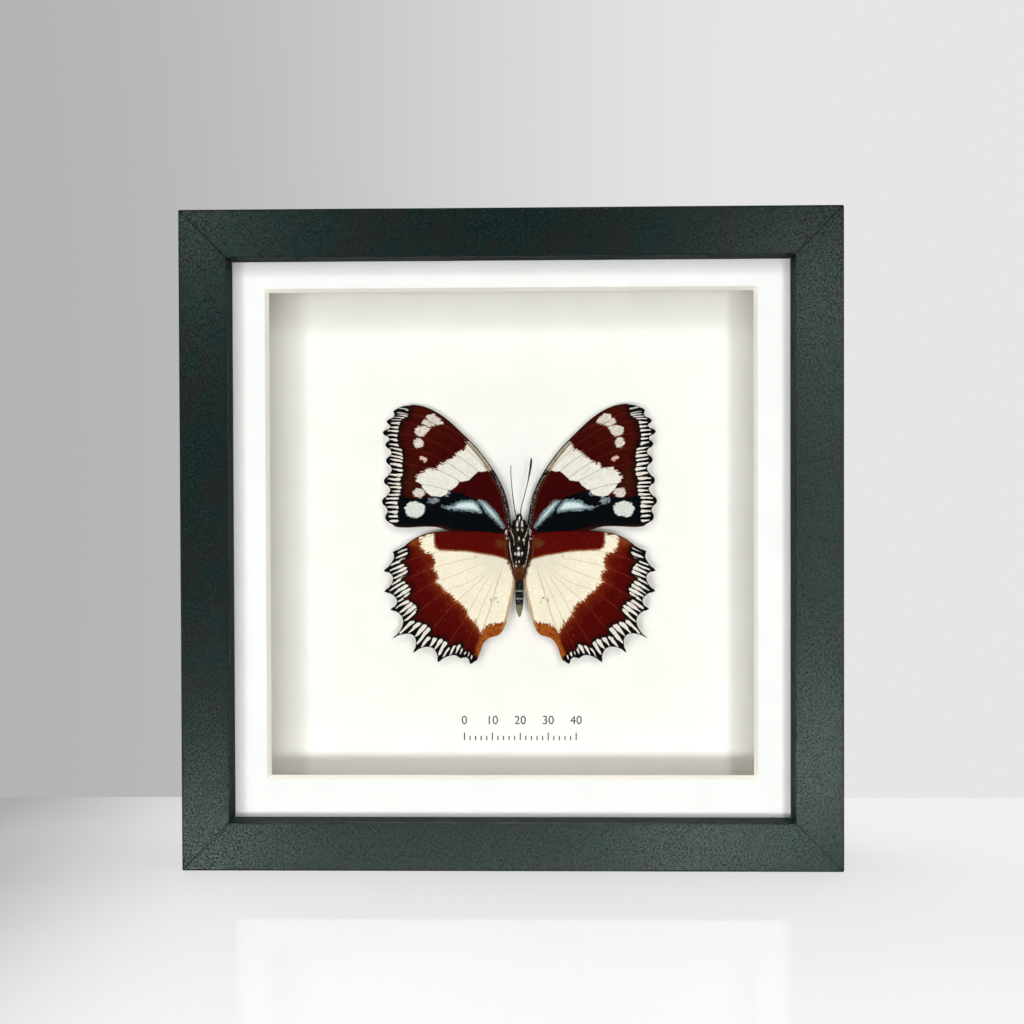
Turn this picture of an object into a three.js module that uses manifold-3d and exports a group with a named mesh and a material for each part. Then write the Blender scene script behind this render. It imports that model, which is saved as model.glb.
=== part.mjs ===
// A deep black box frame that holds one set butterfly, seen from its underside.
// Units are millimetres. +X is right, +Y is back, towards the wall, and +Z is up. The origin is the centre
// of the footprint, so the frame stands on z = 0 and its front face is at y = -DEPTH / 2.

import * as THREE from "three";
import { mergeVertices } from "three/addons/utils/BufferGeometryUtils.js";
import Module from "manifold-3d";

// ---------------------------------------------------------------- driving dimensions
// Frame moulding
const OUTER = 220; // width and height of the square frame
const DEPTH = 44; // front face to back face
const FACE_WIDTH = 16.2; // moulding seen from the front
const LIP_DEPTH = 8; // front lip that the glass rests against
const REBATE = 201; // square opening behind the lip
const EDGE_CHAMFER = 0.6; // eased edge of the moulding's face
const MITRE_GAP = 0.15; // each rail's share of a mitre joint

// The stack inside the rebate
const STACK = 200.4; // width and height of the glass and the boards
const FIT_GAP = 0.3; // between two pieces that touch
const GLASS_THICK = 2;
const MAT_THICK = 1.4;
const WINDOW = 166.6; // the mat's window, measured at its front face
const WINDOW_RISE = 1.8; // the window sits this far above the frame's centre
const DISPLAY_DEPTH = 24; // back of the mat to front of the backing board
const SPACER_THICK = 5;
const BOARD_THICK = 2;
const PANEL_THICK = 2.5;

// Fittings on the back
const POINT = { width: 6, length: 15, thick: 0.8, sunk: 4 }; // flexible steel retaining point
const POINTS_APART = 110; // the two points on one rail
const HANGER = { width: 44, height: 8, thick: 0.8, teeth: 11, toothDepth: 1.6, belowTop: 26 };
const NAIL = { headRadius: 1.9, headThick: 0.6, shankRadius: 0.7, shankLength: 2, apart: 37 };

// Specimen: its own origin is the middle of the wing roots
const SPECIMEN = { x: 2.5, z: 112.6 };
const BODY_Y = 6.9; // axis of the thorax
const WING_THICK = 0.4;
const FOREWING_Y = 8.2; // front face of the forewings
const HINDWING_Y = 7.4; // front face of the hindwings, which lap over the forewings
const RISER = { width: 5.6, height: 11, drop: 6.5 }; // foam block between the backing board and the thorax
const ABDOMEN_FORWARD = 1.5; // the abdomen's axis lies this far in front of the thorax's

// ---------------------------------------------------------------- derived positions along Y
const FRONT_Y = -DEPTH / 2;
const GLASS_Y = FRONT_Y + LIP_DEPTH + FIT_GAP;
const MAT_Y = GLASS_Y + GLASS_THICK + FIT_GAP;
const MAT_BACK_Y = MAT_Y + MAT_THICK;
const BOARD_Y = MAT_BACK_Y + DISPLAY_DEPTH;
const PANEL_Y = BOARD_Y + BOARD_THICK + FIT_GAP;
const FITTING_Y = PANEL_Y + PANEL_THICK + FIT_GAP;
const CENTRE_Z = OUTER / 2;
const WALL = (OUTER - REBATE) / 2; // rail thickness behind the lip

// ---------------------------------------------------------------- wing outlines, right side, [x, z] from the wing roots
const FOREWING_COSTA = [
  [3.6, -0.6], [3.3, 3.5], [3.8, 8.8], [5.2, 13.8], [7.7, 19.0], [11.2, 24.3], [15.4, 29.6],
  [20.4, 34.6], [24.9, 38.8], [29.2, 41.8], [33.4, 43.7], [37.6, 44.4], [41.5, 44.0], [44.4, 42.2],
];
const FOREWING_MARGIN = [
  [44.2, 40.6], [46.7, 38.6], [45.7, 36.7], [48.1, 34.6], [46.0, 32.3], [47.2, 30.2], [45.3, 27.5], [47.0, 24.7],
  [45.3, 21.5], [47.8, 17.5], [45.9, 14.3], [48.5, 10.4], [46.9, 7.2], [47.4, 4.4],
];
const FOREWING_INNER_EDGE = [
  [46.1, 2.5], [43.6, 1.3], [39.8, 1.0], [33.8, 1.3], [28.5, 1.0], [23.2, -0.8], [16.1, -2.6], [9.1, -3.2], [4.6, -2.9],
];
const HINDWING_COSTA = [
  [3.9, -2.5], [6.2, -1.2], [10.1, -0.5], [16.1, -0.2], [23.2, -0.2], [29.2, -0.5], [33.8, -1.4], [37.3, -3.0],
  [40.1, -4.9], [44.8, -7.6],
];
// Each scallop runs from one tooth to the next and is pulled in towards the point given before it.
const HINDWING_SCALLOPS = [
  [[43.1, -9.2], [48.0, -14.3]],
  [[41.9, -15.9], [47.8, -21.5]],
  [[40.5, -24.3], [45.7, -27.9]],
  [[37.5, -30.9], [45.0, -38.1]],
  [[34.5, -33.7], [37.6, -43.2]],
  [[29.4, -38.2], [29.0, -46.7]],
  [[23.4, -42.9], [20.9, -45.3]],
  [[18.4, -44.1], [17.3, -47.7]],
];
const HINDWING_INNER_EDGE = [
  [15.1, -46.2], [14.0, -43.0], [12.9, -40.2], [11.2, -38.3], [9.1, -37.5], [7.3, -36.9], [5.7, -34.9],
  [4.8, -31.4], [4.1, -26.5], [3.1, -21.2], [2.0, -16.6], [1.9, -13.8], [3.2, -10.6], [3.8, -7.8],
];

// Body profiles, [radius, z] from the wing roots, from tail to head
const THORAX_PROFILE = [
  [0, -14.6], [0.8, -14.45], [1.3, -13.6], [1.9, -11.8], [2.7, -9], [3.15, -6], [3.2, -3.5], [2.9, -1.4],
  [2.2, 0.1], [1.2, 0.6], [0, 0.6],
];
const ABDOMEN_PROFILE = [
  [0, -30.6], [0.45, -30.2], [1.0, -28.6], [1.45, -26.4], [1.68, -23.5], [1.68, -20], [1.6, -17.5],
  [1.35, -15.6], [0.7, -14.95], [0, -14.9],
];

// Antennae, [x, y from the body's axis, z]; only the right one still has its club.
const ANTENNA_RIGHT = [[0.55, 0.5, 4.2], [0.6, 0.4, 7.4], [1.7, 0.1, 11.6], [3.2, -0.3, 17.6], [4.1, -0.7, 22.6], [4.3, -0.9, 24.6]];
const ANTENNA_LEFT = [[-0.9, 0.5, 4.2], [-1.6, 0.4, 7.4], [-2.4, 0, 13.4], [-2.9, -0.4, 19.4], [-2.8, -0.6, 22.9]];
const ANTENNA_RADIUS = 0.17;
const CLUB = { radius: 0.38, length: 2.6, z: 24.2 };

// Legs lie against the thorax: [z, degrees round from the middle of its underside].
const HIND_LEG = [[-3.6, 62], [-5.5, 64], [-8, 62], [-10.5, 58], [-12.8, 50]];
const MIDDLE_LEG = [[-0.6, 62], [-1.4, 40], [-3.4, 24], [-6, 20], [-8.5, 22]];
const LEG_RADIUS = 0.3;

// ---------------------------------------------------------------- materials
const finish = (color, roughness, metalness = 0) => new THREE.MeshStandardMaterial({ color, roughness, metalness });
const BLACK_WOOD = finish(0x323633, 0.5);
const GLASS = new THREE.MeshStandardMaterial({ color: 0xf4f8f6, roughness: 0.02, transparent: true, opacity: 0.15 });
const MAT_CARD = finish(0xfbfbf8, 0.9);
const WHITE_FOAM = finish(0xf2f2ee, 0.85);
const WHITE_BOARD = finish(0xfaf9f3, 0.9);
const HARDBOARD = finish(0x7a5a3c, 0.8);
const PLATED_STEEL = finish(0xb9bcbd, 0.35, 1);
const MAROON_WING = finish(0x4b0a05, 0.7);
const CREAM_WING = finish(0xdcc7a4, 0.7);
const DARK_BODY = finish(0x2a2320, 0.75);
const PALE_LEG = finish(0xc9bba8, 0.6);

// ---------------------------------------------------------------- solids: joining and cutting
const wasm = await Module();
wasm.setup();

function toSolid(geometry) {
  const bare = geometry.index ? geometry.toNonIndexed() : geometry.clone();
  bare.deleteAttribute("normal");
  bare.deleteAttribute("uv");
  const merged = mergeVertices(bare, 1e-4);
  return new wasm.Manifold(
    new wasm.Mesh({
      numProp: 3,
      vertProperties: merged.attributes.position.array,
      triVerts: new Uint32Array(merged.index.array),
    }),
  );
}

function toGeometry(solid) {
  const mesh = solid.getMesh();
  const indexed = new THREE.BufferGeometry();
  indexed.setAttribute("position", new THREE.BufferAttribute(mesh.vertProperties, 3));
  indexed.setIndex(new THREE.BufferAttribute(mesh.triVerts, 1));
  const loose = indexed.toNonIndexed();
  loose.computeVertexNormals();
  return loose;
}

const joined = (first, ...rest) => toGeometry(rest.reduce((sum, g) => sum.add(toSolid(g)), toSolid(first)));
const cut = (body, ...tools) => toGeometry(tools.reduce((left, g) => left.subtract(toSolid(g)), toSolid(body)));

// ---------------------------------------------------------------- shapes and placing
const vectors = (points) => points.map(([x, y]) => new THREE.Vector2(x, y));

function box(width, depth, height, x = 0, y = 0, z = 0) {
  return new THREE.BoxGeometry(width, depth, height).translate(x, y, z);
}

// Turns a flat shape drawn in X and Z into a plate whose front face is at y = 0 and whose back is at thickness.
function plateGeometry(shape, thickness, curveSegments = 3) {
  const geometry = new THREE.ExtrudeGeometry(shape, { depth: thickness, bevelEnabled: false, curveSegments });
  return geometry.rotateX(Math.PI / 2).translate(0, thickness, 0);
}

// A round bar that follows points, with eight sides.
function bar(points, radius, steps) {
  const path = new THREE.CatmullRomCurve3(points.map((p) => new THREE.Vector3(...p)));
  const section = new THREE.Shape();
  section.absarc(0, 0, radius, 0, 2 * Math.PI);
  return new THREE.ExtrudeGeometry(section, { extrudePath: path, steps, bevelEnabled: false, curveSegments: 8 });
}

// A body of revolution about Z.
function turned(profile, segments) {
  return new THREE.LatheGeometry(vectors(profile), segments).rotateX(Math.PI / 2);
}

function mesh(name, geometry, material) {
  const made = new THREE.Mesh(geometry, material);
  made.name = name;
  return made;
}

function at(object, x, y, z) {
  object.position.set(x, y, z);
  return object;
}

const framed = new THREE.Group();

// ---------------------------------------------------------------- frame rails
// The moulding's section, drawn as [distance in from the outer edge, y].
function mouldingSection() {
  const c = EDGE_CHAMFER;
  return new THREE.Shape(
    vectors([
      [0, FRONT_Y + c],
      [c, FRONT_Y],
      [FACE_WIDTH - c, FRONT_Y],
      [FACE_WIDTH, FRONT_Y + c],
      [FACE_WIDTH, FRONT_Y + LIP_DEPTH],
      [WALL, FRONT_Y + LIP_DEPTH],
      [WALL, DEPTH / 2],
      [0, DEPTH / 2],
    ]),
  );
}

// The bottom rail: the section swept along X, with each end cut back at 45 degrees for the mitre.
function railGeometry() {
  const sweep = new THREE.ExtrudeGeometry(mouldingSection(), { depth: 1, bevelEnabled: false });
  const position = sweep.attributes.position;
  for (let i = 0; i < position.count; i++) {
    const inward = position.getX(i);
    const side = 1 - 2 * position.getZ(i);
    position.setXYZ(i, side * (OUTER / 2 - inward - MITRE_GAP), position.getY(i), inward);
  }
  const slots = [-1, 1].map((side) =>
    box(
      POINT.width + 2 * FIT_GAP,
      POINT.thick + 2 * FIT_GAP,
      POINT.sunk + FIT_GAP + 1,
      (side * POINTS_APART) / 2,
      FITTING_Y + POINT.thick / 2,
      WALL - (POINT.sunk + FIT_GAP - 1) / 2,
    ),
  );
  return cut(sweep, ...slots);
}

// A flexible point: a flat steel tongue, pointed at the end that is driven into the rail, lying over the panel.
function pointGeometry() {
  const half = POINT.width / 2;
  const tongue = new THREE.Shape();
  tongue.moveTo(0, 0);
  tongue.lineTo(half, 2.4);
  tongue.lineTo(half, POINT.length - half);
  tongue.absarc(0, POINT.length - half, half, 0, Math.PI);
  tongue.lineTo(-half, 2.4);
  return plateGeometry(tongue, POINT.thick, 8);
}

// Each side is the bottom rail with its two points, turned about the middle of the frame.
["bottom", "right", "top", "left"].forEach((side, quarter) => {
  const standing = at(new THREE.Group(), 0, 0, CENTRE_Z);
  standing.rotation.y = (-quarter * Math.PI) / 2;
  const sill = at(new THREE.Group(), 0, 0, -CENTRE_Z);
  sill.add(mesh("rail_" + side, railGeometry(), BLACK_WOOD));
  [-1, 1].forEach((end, index) => {
    const point = mesh("retaining_point_" + side + "_" + (index + 1), pointGeometry(), PLATED_STEEL);
    sill.add(at(point, (end * POINTS_APART) / 2, FITTING_Y, WALL - POINT.sunk));
  });
  standing.add(sill);
  framed.add(standing);
});

// ---------------------------------------------------------------- the stack in the rebate
const stack = at(new THREE.Group(), 0, 0, CENTRE_Z);
framed.add(stack);

function sheet(name, thickness, frontY, material) {
  stack.add(at(mesh(name, box(STACK, thickness, STACK), material), 0, frontY + thickness / 2, 0));
}

sheet("glass_pane", GLASS_THICK, GLASS_Y, GLASS);
sheet("backing_board", BOARD_THICK, BOARD_Y, WHITE_BOARD);
sheet("back_panel", PANEL_THICK, PANEL_Y, HARDBOARD);

// The window is cut with a blade held at 45 degrees, so it narrows by the card's thickness on each side.
function matGeometry() {
  const over = 1;
  const halfAt = (y) => WINDOW / 2 - y;
  const cutter = new THREE.CylinderGeometry(
    halfAt(-over) * Math.SQRT2,
    halfAt(MAT_THICK + over) * Math.SQRT2,
    MAT_THICK + 2 * over,
    4,
  );
  cutter.rotateY(Math.PI / 4).rotateX(-Math.PI / 2).translate(0, MAT_THICK / 2, WINDOW_RISE);
  return cut(box(STACK, MAT_THICK, STACK, 0, MAT_THICK / 2, 0), cutter);
}
stack.add(at(mesh("window_mat", matGeometry(), MAT_CARD), 0, MAT_Y, 0));

// Four strips hold the backing board away from the mat. The upright ones fit between the level ones.
const SPACER_DEPTH = DISPLAY_DEPTH - 2 * FIT_GAP;
const spacerY = MAT_BACK_Y + FIT_GAP + SPACER_DEPTH / 2;
const spacerOffset = (STACK - SPACER_THICK) / 2;
[["top", 1], ["bottom", -1]].forEach(([side, sign]) => {
  const strip = mesh("spacer_" + side, box(STACK, SPACER_DEPTH, SPACER_THICK), WHITE_FOAM);
  stack.add(at(strip, 0, spacerY, sign * spacerOffset));
});
[["right", 1], ["left", -1]].forEach(([side, sign]) => {
  const height = STACK - 2 * SPACER_THICK - 2 * FIT_GAP;
  const strip = mesh("spacer_" + side, box(SPACER_THICK, SPACER_DEPTH, height), WHITE_FOAM);
  stack.add(at(strip, sign * spacerOffset, spacerY, 0));
});

// ---------------------------------------------------------------- sawtooth hanger and its two nails
const hangerZ = OUTER - HANGER.belowTop;

function hangerGeometry() {
  const toothPitch = 2.2;
  const toothed = (toothPitch * HANGER.teeth) / 2;
  const low = -HANGER.height / 2;
  const strip = new THREE.Shape();
  strip.moveTo(-HANGER.width / 2, low);
  strip.lineTo(-toothed, low);
  for (let i = 0; i < HANGER.teeth; i++) {
    strip.lineTo(-toothed + (i + 0.5) * toothPitch, low + HANGER.toothDepth);
    strip.lineTo(-toothed + (i + 1) * toothPitch, low);
  }
  strip.lineTo(HANGER.width / 2, low);
  strip.lineTo(HANGER.width / 2 - 3, -low);
  strip.lineTo(-HANGER.width / 2 + 3, -low);
  for (const side of [-1, 1]) {
    const hole = new THREE.Path();
    hole.absarc((side * NAIL.apart) / 2, 0, NAIL.shankRadius + FIT_GAP, 0, 2 * Math.PI, true);
    strip.holes.push(hole);
  }
  return plateGeometry(strip, HANGER.thick, 8);
}
framed.add(at(mesh("sawtooth_hanger", hangerGeometry(), PLATED_STEEL), 0, FITTING_Y, hangerZ));

// A nail is turned: a domed head and a shank that stops inside the hanger's hole.
function nailGeometry() {
  const { headRadius, headThick, shankRadius } = NAIL;
  return turned(
    [[0, 0], [shankRadius, 0], [shankRadius, NAIL.shankLength - headThick], [headRadius, NAIL.shankLength - headThick],
      [headRadius * 0.8, NAIL.shankLength - 0.15], [0, NAIL.shankLength]],
    14,
  ).rotateX(-Math.PI / 2);
}
[["left", -1], ["right", 1]].forEach(([side, sign]) => {
  const headSeat = FITTING_Y + HANGER.thick + FIT_GAP;
  const nail = mesh("hanger_nail_" + side, nailGeometry(), PLATED_STEEL);
  framed.add(at(nail, (sign * NAIL.apart) / 2, headSeat - (NAIL.shankLength - NAIL.headThick), hangerZ));
});

// ---------------------------------------------------------------- the butterfly
const specimen = at(new THREE.Group(), SPECIMEN.x, 0, SPECIMEN.z);
framed.add(specimen);

const riserBack = BOARD_Y - FIT_GAP;
const riserFront = BODY_Y + 3.5;
specimen.add(
  at(
    mesh("foam_riser", box(RISER.width, riserBack - riserFront, RISER.height), WHITE_FOAM),
    0,
    (riserBack + riserFront) / 2,
    -RISER.drop,
  ),
);

function forewingShape() {
  const shape = new THREE.Shape();
  shape.moveTo(...FOREWING_COSTA[0]);
  shape.splineThru(vectors(FOREWING_COSTA.slice(1)));
  FOREWING_MARGIN.forEach((point) => shape.lineTo(...point));
  shape.splineThru(vectors(FOREWING_INNER_EDGE));
  return shape;
}

function hindwingShape() {
  const shape = new THREE.Shape();
  shape.moveTo(...HINDWING_COSTA[0]);
  shape.splineThru(vectors(HINDWING_COSTA.slice(1)));
  HINDWING_SCALLOPS.forEach(([pull, tooth]) => shape.quadraticCurveTo(...pull, ...tooth));
  shape.splineThru(vectors(HINDWING_INNER_EDGE));
  return shape;
}

// The left half is the right half mirrored across the body.
[["right", 1], ["left", -1]].forEach(([side, sign]) => {
  const half = new THREE.Group();
  half.scale.x = sign;
  const forewing = mesh("forewing_" + side, plateGeometry(forewingShape(), WING_THICK, 2), MAROON_WING);
  const hindwing = mesh("hindwing_" + side, plateGeometry(hindwingShape(), WING_THICK, 2), CREAM_WING);
  half.add(at(forewing, 0, FOREWING_Y, 0), at(hindwing, 0, HINDWING_Y, 0));
  specimen.add(half);
});

const body = at(new THREE.Group(), 0, BODY_Y, 0);
specimen.add(body);
body.add(mesh("thorax", turned(THORAX_PROFILE, 20), DARK_BODY));
body.add(at(mesh("abdomen", turned(ABDOMEN_PROFILE, 18), DARK_BODY), 0, -ABDOMEN_FORWARD, 0));

// The head carries its two eyes and, in front, the two palps that reach up past it.
function headGeometry() {
  const skull = new THREE.SphereGeometry(1.5, 16, 10).translate(0, 0, 2.45);
  const eyes = [-1, 1].map((side) => new THREE.SphereGeometry(0.95, 12, 8).translate(side * 1.4, 0, 2.8));
  const palps = [-1, 1].map((side) =>
    new THREE.CapsuleGeometry(0.55, 3, 4, 10).rotateX(Math.PI / 2).translate(side * 0.4, -0.8, 4.55),
  );
  return joined(skull, ...eyes, ...palps);
}
body.add(mesh("head", headGeometry(), DARK_BODY));

const [clubX, clubY] = ANTENNA_RIGHT.at(-1);
const club = new THREE.SphereGeometry(1, 10, 8)
  .scale(CLUB.radius, CLUB.radius, CLUB.length / 2)
  .translate(clubX, clubY, CLUB.z);
body.add(mesh("antenna_right", joined(bar(ANTENNA_RIGHT, ANTENNA_RADIUS, 14), club), DARK_BODY));
body.add(mesh("antenna_left", bar(ANTENNA_LEFT, ANTENNA_RADIUS, 14), DARK_BODY));

// The thorax's radius at a height, read along its profile.
function thoraxRadius(z) {
  const above = THORAX_PROFILE.findIndex(([, height]) => height >= z);
  const [r0, z0] = THORAX_PROFILE[above - 1];
  const [r1, z1] = THORAX_PROFILE[above];
  return r0 + ((r1 - r0) * (z - z0)) / (z1 - z0);
}

function legPath(stations, sign) {
  return stations.map(([z, degrees]) => {
    const reach = thoraxRadius(z) + FIT_GAP + LEG_RADIUS + 0.1;
    const angle = THREE.MathUtils.degToRad(degrees);
    return [sign * reach * Math.sin(angle), -reach * Math.cos(angle), z];
  });
}

[["right", 1], ["left", -1]].forEach(([side, sign]) => {
  body.add(mesh("hind_leg_" + side, bar(legPath(HIND_LEG, sign), LEG_RADIUS, 10), PALE_LEG));
  body.add(mesh("middle_leg_" + side, bar(legPath(MIDDLE_LEG, sign), LEG_RADIUS, 10), PALE_LEG));
});

export default framed;
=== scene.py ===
import math

import bpy
import numpy as np
from bpy.props import FloatProperty, FloatVectorProperty, IntProperty, PointerProperty, StringProperty
from mathutils import Matrix, Vector, noise
from mathutils.geometry import delaunay_2d_cdt


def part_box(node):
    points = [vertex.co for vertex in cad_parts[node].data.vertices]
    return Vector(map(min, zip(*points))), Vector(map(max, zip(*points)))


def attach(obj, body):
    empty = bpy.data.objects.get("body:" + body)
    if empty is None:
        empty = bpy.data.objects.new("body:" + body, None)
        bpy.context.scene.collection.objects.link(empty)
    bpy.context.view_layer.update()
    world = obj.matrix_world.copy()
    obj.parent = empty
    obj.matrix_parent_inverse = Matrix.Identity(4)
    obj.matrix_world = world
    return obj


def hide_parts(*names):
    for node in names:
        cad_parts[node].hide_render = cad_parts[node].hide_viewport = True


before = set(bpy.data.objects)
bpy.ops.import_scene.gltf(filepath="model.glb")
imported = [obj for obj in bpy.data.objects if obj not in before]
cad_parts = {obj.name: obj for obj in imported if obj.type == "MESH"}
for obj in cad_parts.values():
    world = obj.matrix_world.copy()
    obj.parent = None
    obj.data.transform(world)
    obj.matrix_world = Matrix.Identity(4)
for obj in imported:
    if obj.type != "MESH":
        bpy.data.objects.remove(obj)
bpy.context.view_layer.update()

bl_info = {
    "name": "Framed butterfly",
    "version": (1, 0, 0),
    "blender": (4, 5, 0),
    "location": "3D View > Sidebar > Specimen",
    "description": "Builds a deep black box frame with a set butterfly behind its glass",
    "category": "Object",
}

# ------------------------------------------------------------------ units and places
# Lengths are millimetres, turned to metres when a mesh is made. +X is right, +Y is back, +Z is up.
MM = 0.001


def box_mm(node):
    """Lowest and highest corner of a CAD node, in millimetres."""
    low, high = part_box(node)
    return np.array(low) / MM, np.array(high) / MM


RAIL_LOW, RAIL_HIGH = box_mm("rail_bottom")
LEFT_LOW, LEFT_HIGH = box_mm("rail_left")
GLASS_LOW = box_mm("glass_pane")[0]
MAT_LOW, MAT_HIGH = box_mm("window_mat")
BOARD_LOW = box_mm("backing_board")[0]
THORAX_LOW, THORAX_HIGH = box_mm("thorax")
FOREWING_LOW = box_mm("forewing_right")[0]
HINDWING_LOW = box_mm("hindwing_right")[0]
ABDOMEN_LOW, ABDOMEN_HIGH = box_mm("abdomen")

OUTER = LEFT_HIGH[2] + LEFT_LOW[2]
CENTRE_Z = OUTER / 2
FACE_WIDTH = RAIL_HIGH[2] - RAIL_LOW[2]
FRONT_Y, BACK_Y = RAIL_LOW[1], RAIL_HIGH[1]
SHEET_GAP = 0.3  # between sheets that lie on each other
LIP_BACK_Y = GLASS_LOW[1] - SHEET_GAP
WALL = 9.5  # rail thickness behind the lip
MITRE_GAP = 0.01
MITRE_EASE = 0.22  # chamfer at a mitre
LIP_FACES = (9, 10, 11)  # sides of the section inside the lip and the rebate
WINDOW = 166.6  # mat window at the front of the card
WINDOW_Z = CENTRE_Z + 1.8
BEVEL = 1.25  # width of the mat's cut core, seen from the front
# The middle of the wing roots, on the axis of the body
ROOT_X = (THORAX_LOW[0] + THORAX_HIGH[0]) / 2
ROOT_Z = THORAX_HIGH[2] - 0.6
BODY_Y = (THORAX_LOW[1] + THORAX_HIGH[1]) / 2
ABDOMEN_Y = (ABDOMEN_LOW[1] + ABDOMEN_HIGH[1]) / 2


# ------------------------------------------------------------------ colours and nodes
def linear(hex_colour):
    """An sRGB hex colour as linear RGBA."""
    parts = [int(hex_colour[i:i + 2], 16) / 255 for i in (1, 3, 5)]
    return tuple([c / 12.92 if c <= 0.04045 else ((c + 0.055) / 1.055) ** 2.4 for c in parts] + [1.0])


def node(tree, kind, inputs=None, **settings):
    """Adds a node with its settings, and feeds its inputs."""
    made = tree.nodes.new(kind)
    for key, value in settings.items():
        setattr(made, key, value)
    feed(tree, made, inputs or {})
    return made


def feed(tree, made, inputs):
    """Sets a node's inputs, each by its name or number, to what its value stands for."""
    for key, value in inputs.items():
        value = source(tree, value)
        if isinstance(value, bpy.types.NodeSocket):
            tree.links.new(value, made.inputs[key])
        else:
            made.inputs[key].default_value = value


def source(tree, value):
    """What a value stands for: a socket, or the plain value itself.

    "#RRGGBB" is a colour, and "@name" is one of the numbers that the mesh carries. (value, low, high, start,
    end, kind) is a range: start where the value is at or under low, end where it is at or over high, and a
    change of that kind between. Left out, the last three are 0, 1 and a smooth step.
    """
    if isinstance(value, str) and value.startswith("#"):
        return linear(value)
    if isinstance(value, str) and value.startswith("@"):
        carried = node(tree, "ShaderNodeAttribute", attribute_name=value[1:], attribute_type="GEOMETRY")
        return carried.outputs["Fac"]
    if isinstance(value, tuple) and isinstance(value[0], (str, bpy.types.NodeSocket)):
        value, low, high, start, end, kind = value + (0.0, 1.0, "SMOOTHSTEP")[len(value) - 3:]
        return node(
            tree, "ShaderNodeMapRange",
            {"Value": value, "From Min": low, "From Max": high, "To Min": start, "To Max": end},
            interpolation_type=kind,
        ).outputs["Result"]
    return value


def new_material(name):
    """An empty material: its node tree, its shader and the material."""
    material = bpy.data.materials.new(name)
    material.use_nodes = True
    tree = material.node_tree
    tree.nodes.clear()
    shader = node(tree, "ShaderNodeBsdfPrincipled")
    node(tree, "ShaderNodeOutputMaterial", {"Surface": shader.outputs[0]})
    return material, tree, shader


def object_noise(tree, size_mm, detail=2.0, roughness=0.5, stretch=(1, 1, 1)):
    """Noise whose features are about size_mm across, in the piece's own coordinates."""
    place = node(tree, "ShaderNodeTexCoord").outputs["Object"]
    scaled = node(tree, "ShaderNodeMapping", {"Vector": place, "Scale": tuple(1 / s for s in stretch)})
    return node(
        tree, "ShaderNodeTexNoise",
        {"Vector": scaled.outputs[0], "Scale": 1 / (size_mm * MM), "Detail": detail, "Roughness": roughness},
    ).outputs["Fac"]


def paint(tree, ground, layers):
    """Lays colours over the ground, in order. A layer is (cover, colour), each a socket or a value."""
    for cover, colour in layers:
        ground = node(
            tree, "ShaderNodeMix", {"Factor": cover, "A": ground, "B": colour}, data_type="RGBA",
        ).outputs["Result"]
    return ground


def finish(tree, shader, colour, roughness, gloss=0.5, height=None, depth_mm=0.0):
    """Gives the shader its colour, roughness and gloss, and the relief of a height map depth_mm deep."""
    feed(tree, shader, {"Base Color": colour, "Roughness": roughness, "Specular IOR Level": gloss})
    if height:
        bump = node(tree, "ShaderNodeBump", {"Strength": 1.0, "Distance": depth_mm * MM, "Height": height})
        feed(tree, shader, {"Normal": bump.outputs[0]})


# ------------------------------------------------------------------ settings
class FrameSettings(bpy.types.PropertyGroup):
    edge_radius: FloatProperty(
        name="Edge radius", description="Easing of the moulding's long edges, in millimetres",
        default=0.55, min=0.1, max=2.0,
    )
    mottle: FloatProperty(
        name="Mottle", description="Size of the mottling in the lacquer, in millimetres",
        default=0.65, min=0.2,
    )
    lacquer: StringProperty(
        name="Lacquer", description="Colour of the black lacquer, sRGB hex", default="#091818",
    )
    card: StringProperty(name="Card", description="Colour of the mat's face, sRGB hex", default="#FDFDFB")
    core: StringProperty(name="Core", description="Colour of the mat's cut core, sRGB hex", default="#FFFBEF")
    board: StringProperty(
        name="Board", description="Colour of the backing board, sRGB hex", default="#FBFAF5",
    )


class WingSettings(bpy.types.PropertyGroup):
    step: FloatProperty(
        name="Mesh step", description="Spacing of the points across a wing, in millimetres",
        default=0.27, min=0.15,
    )
    thickness: FloatProperty(
        name="Thickness", description="Thickness of the wing membrane, in millimetres",
        default=0.14, min=0.05,
    )
    forewing_ground: StringProperty(
        name="Forewing", description="Forewing ground colour, sRGB hex", default="#3A0202",
    )
    hindwing_ground: StringProperty(
        name="Hindwing", description="Hindwing ground colour, sRGB hex", default="#560704",
    )
    cream: StringProperty(name="Cream", description="Pale patch of the hindwing, sRGB hex", default="#FDF3DA")
    band: StringProperty(name="Band", description="White band of the forewing, sRGB hex", default="#F0EDE0")
    stripe: StringProperty(
        name="Stripe", description="Pale stripes of the margin, sRGB hex", default="#F2EADF",
    )
    blue: StringProperty(name="Blue", description="Pale blue streaks, sRGB hex", default="#C6DCDE")
    orange: StringProperty(name="Orange", description="Orange-brown edges, sRGB hex", default="#A55A1C")
    black: StringProperty(name="Black", description="Black field and lines, sRGB hex", default="#04070A")


class BodySettings(bpy.types.PropertyGroup):
    hair_length: FloatProperty(
        name="Hair length", description="Length of the hair on the thorax, in millimetres",
        default=0.75, min=0.1,
    )
    seed: IntProperty(name="Seed", description="Seed of the hair's scatter", default=7, min=0)


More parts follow.
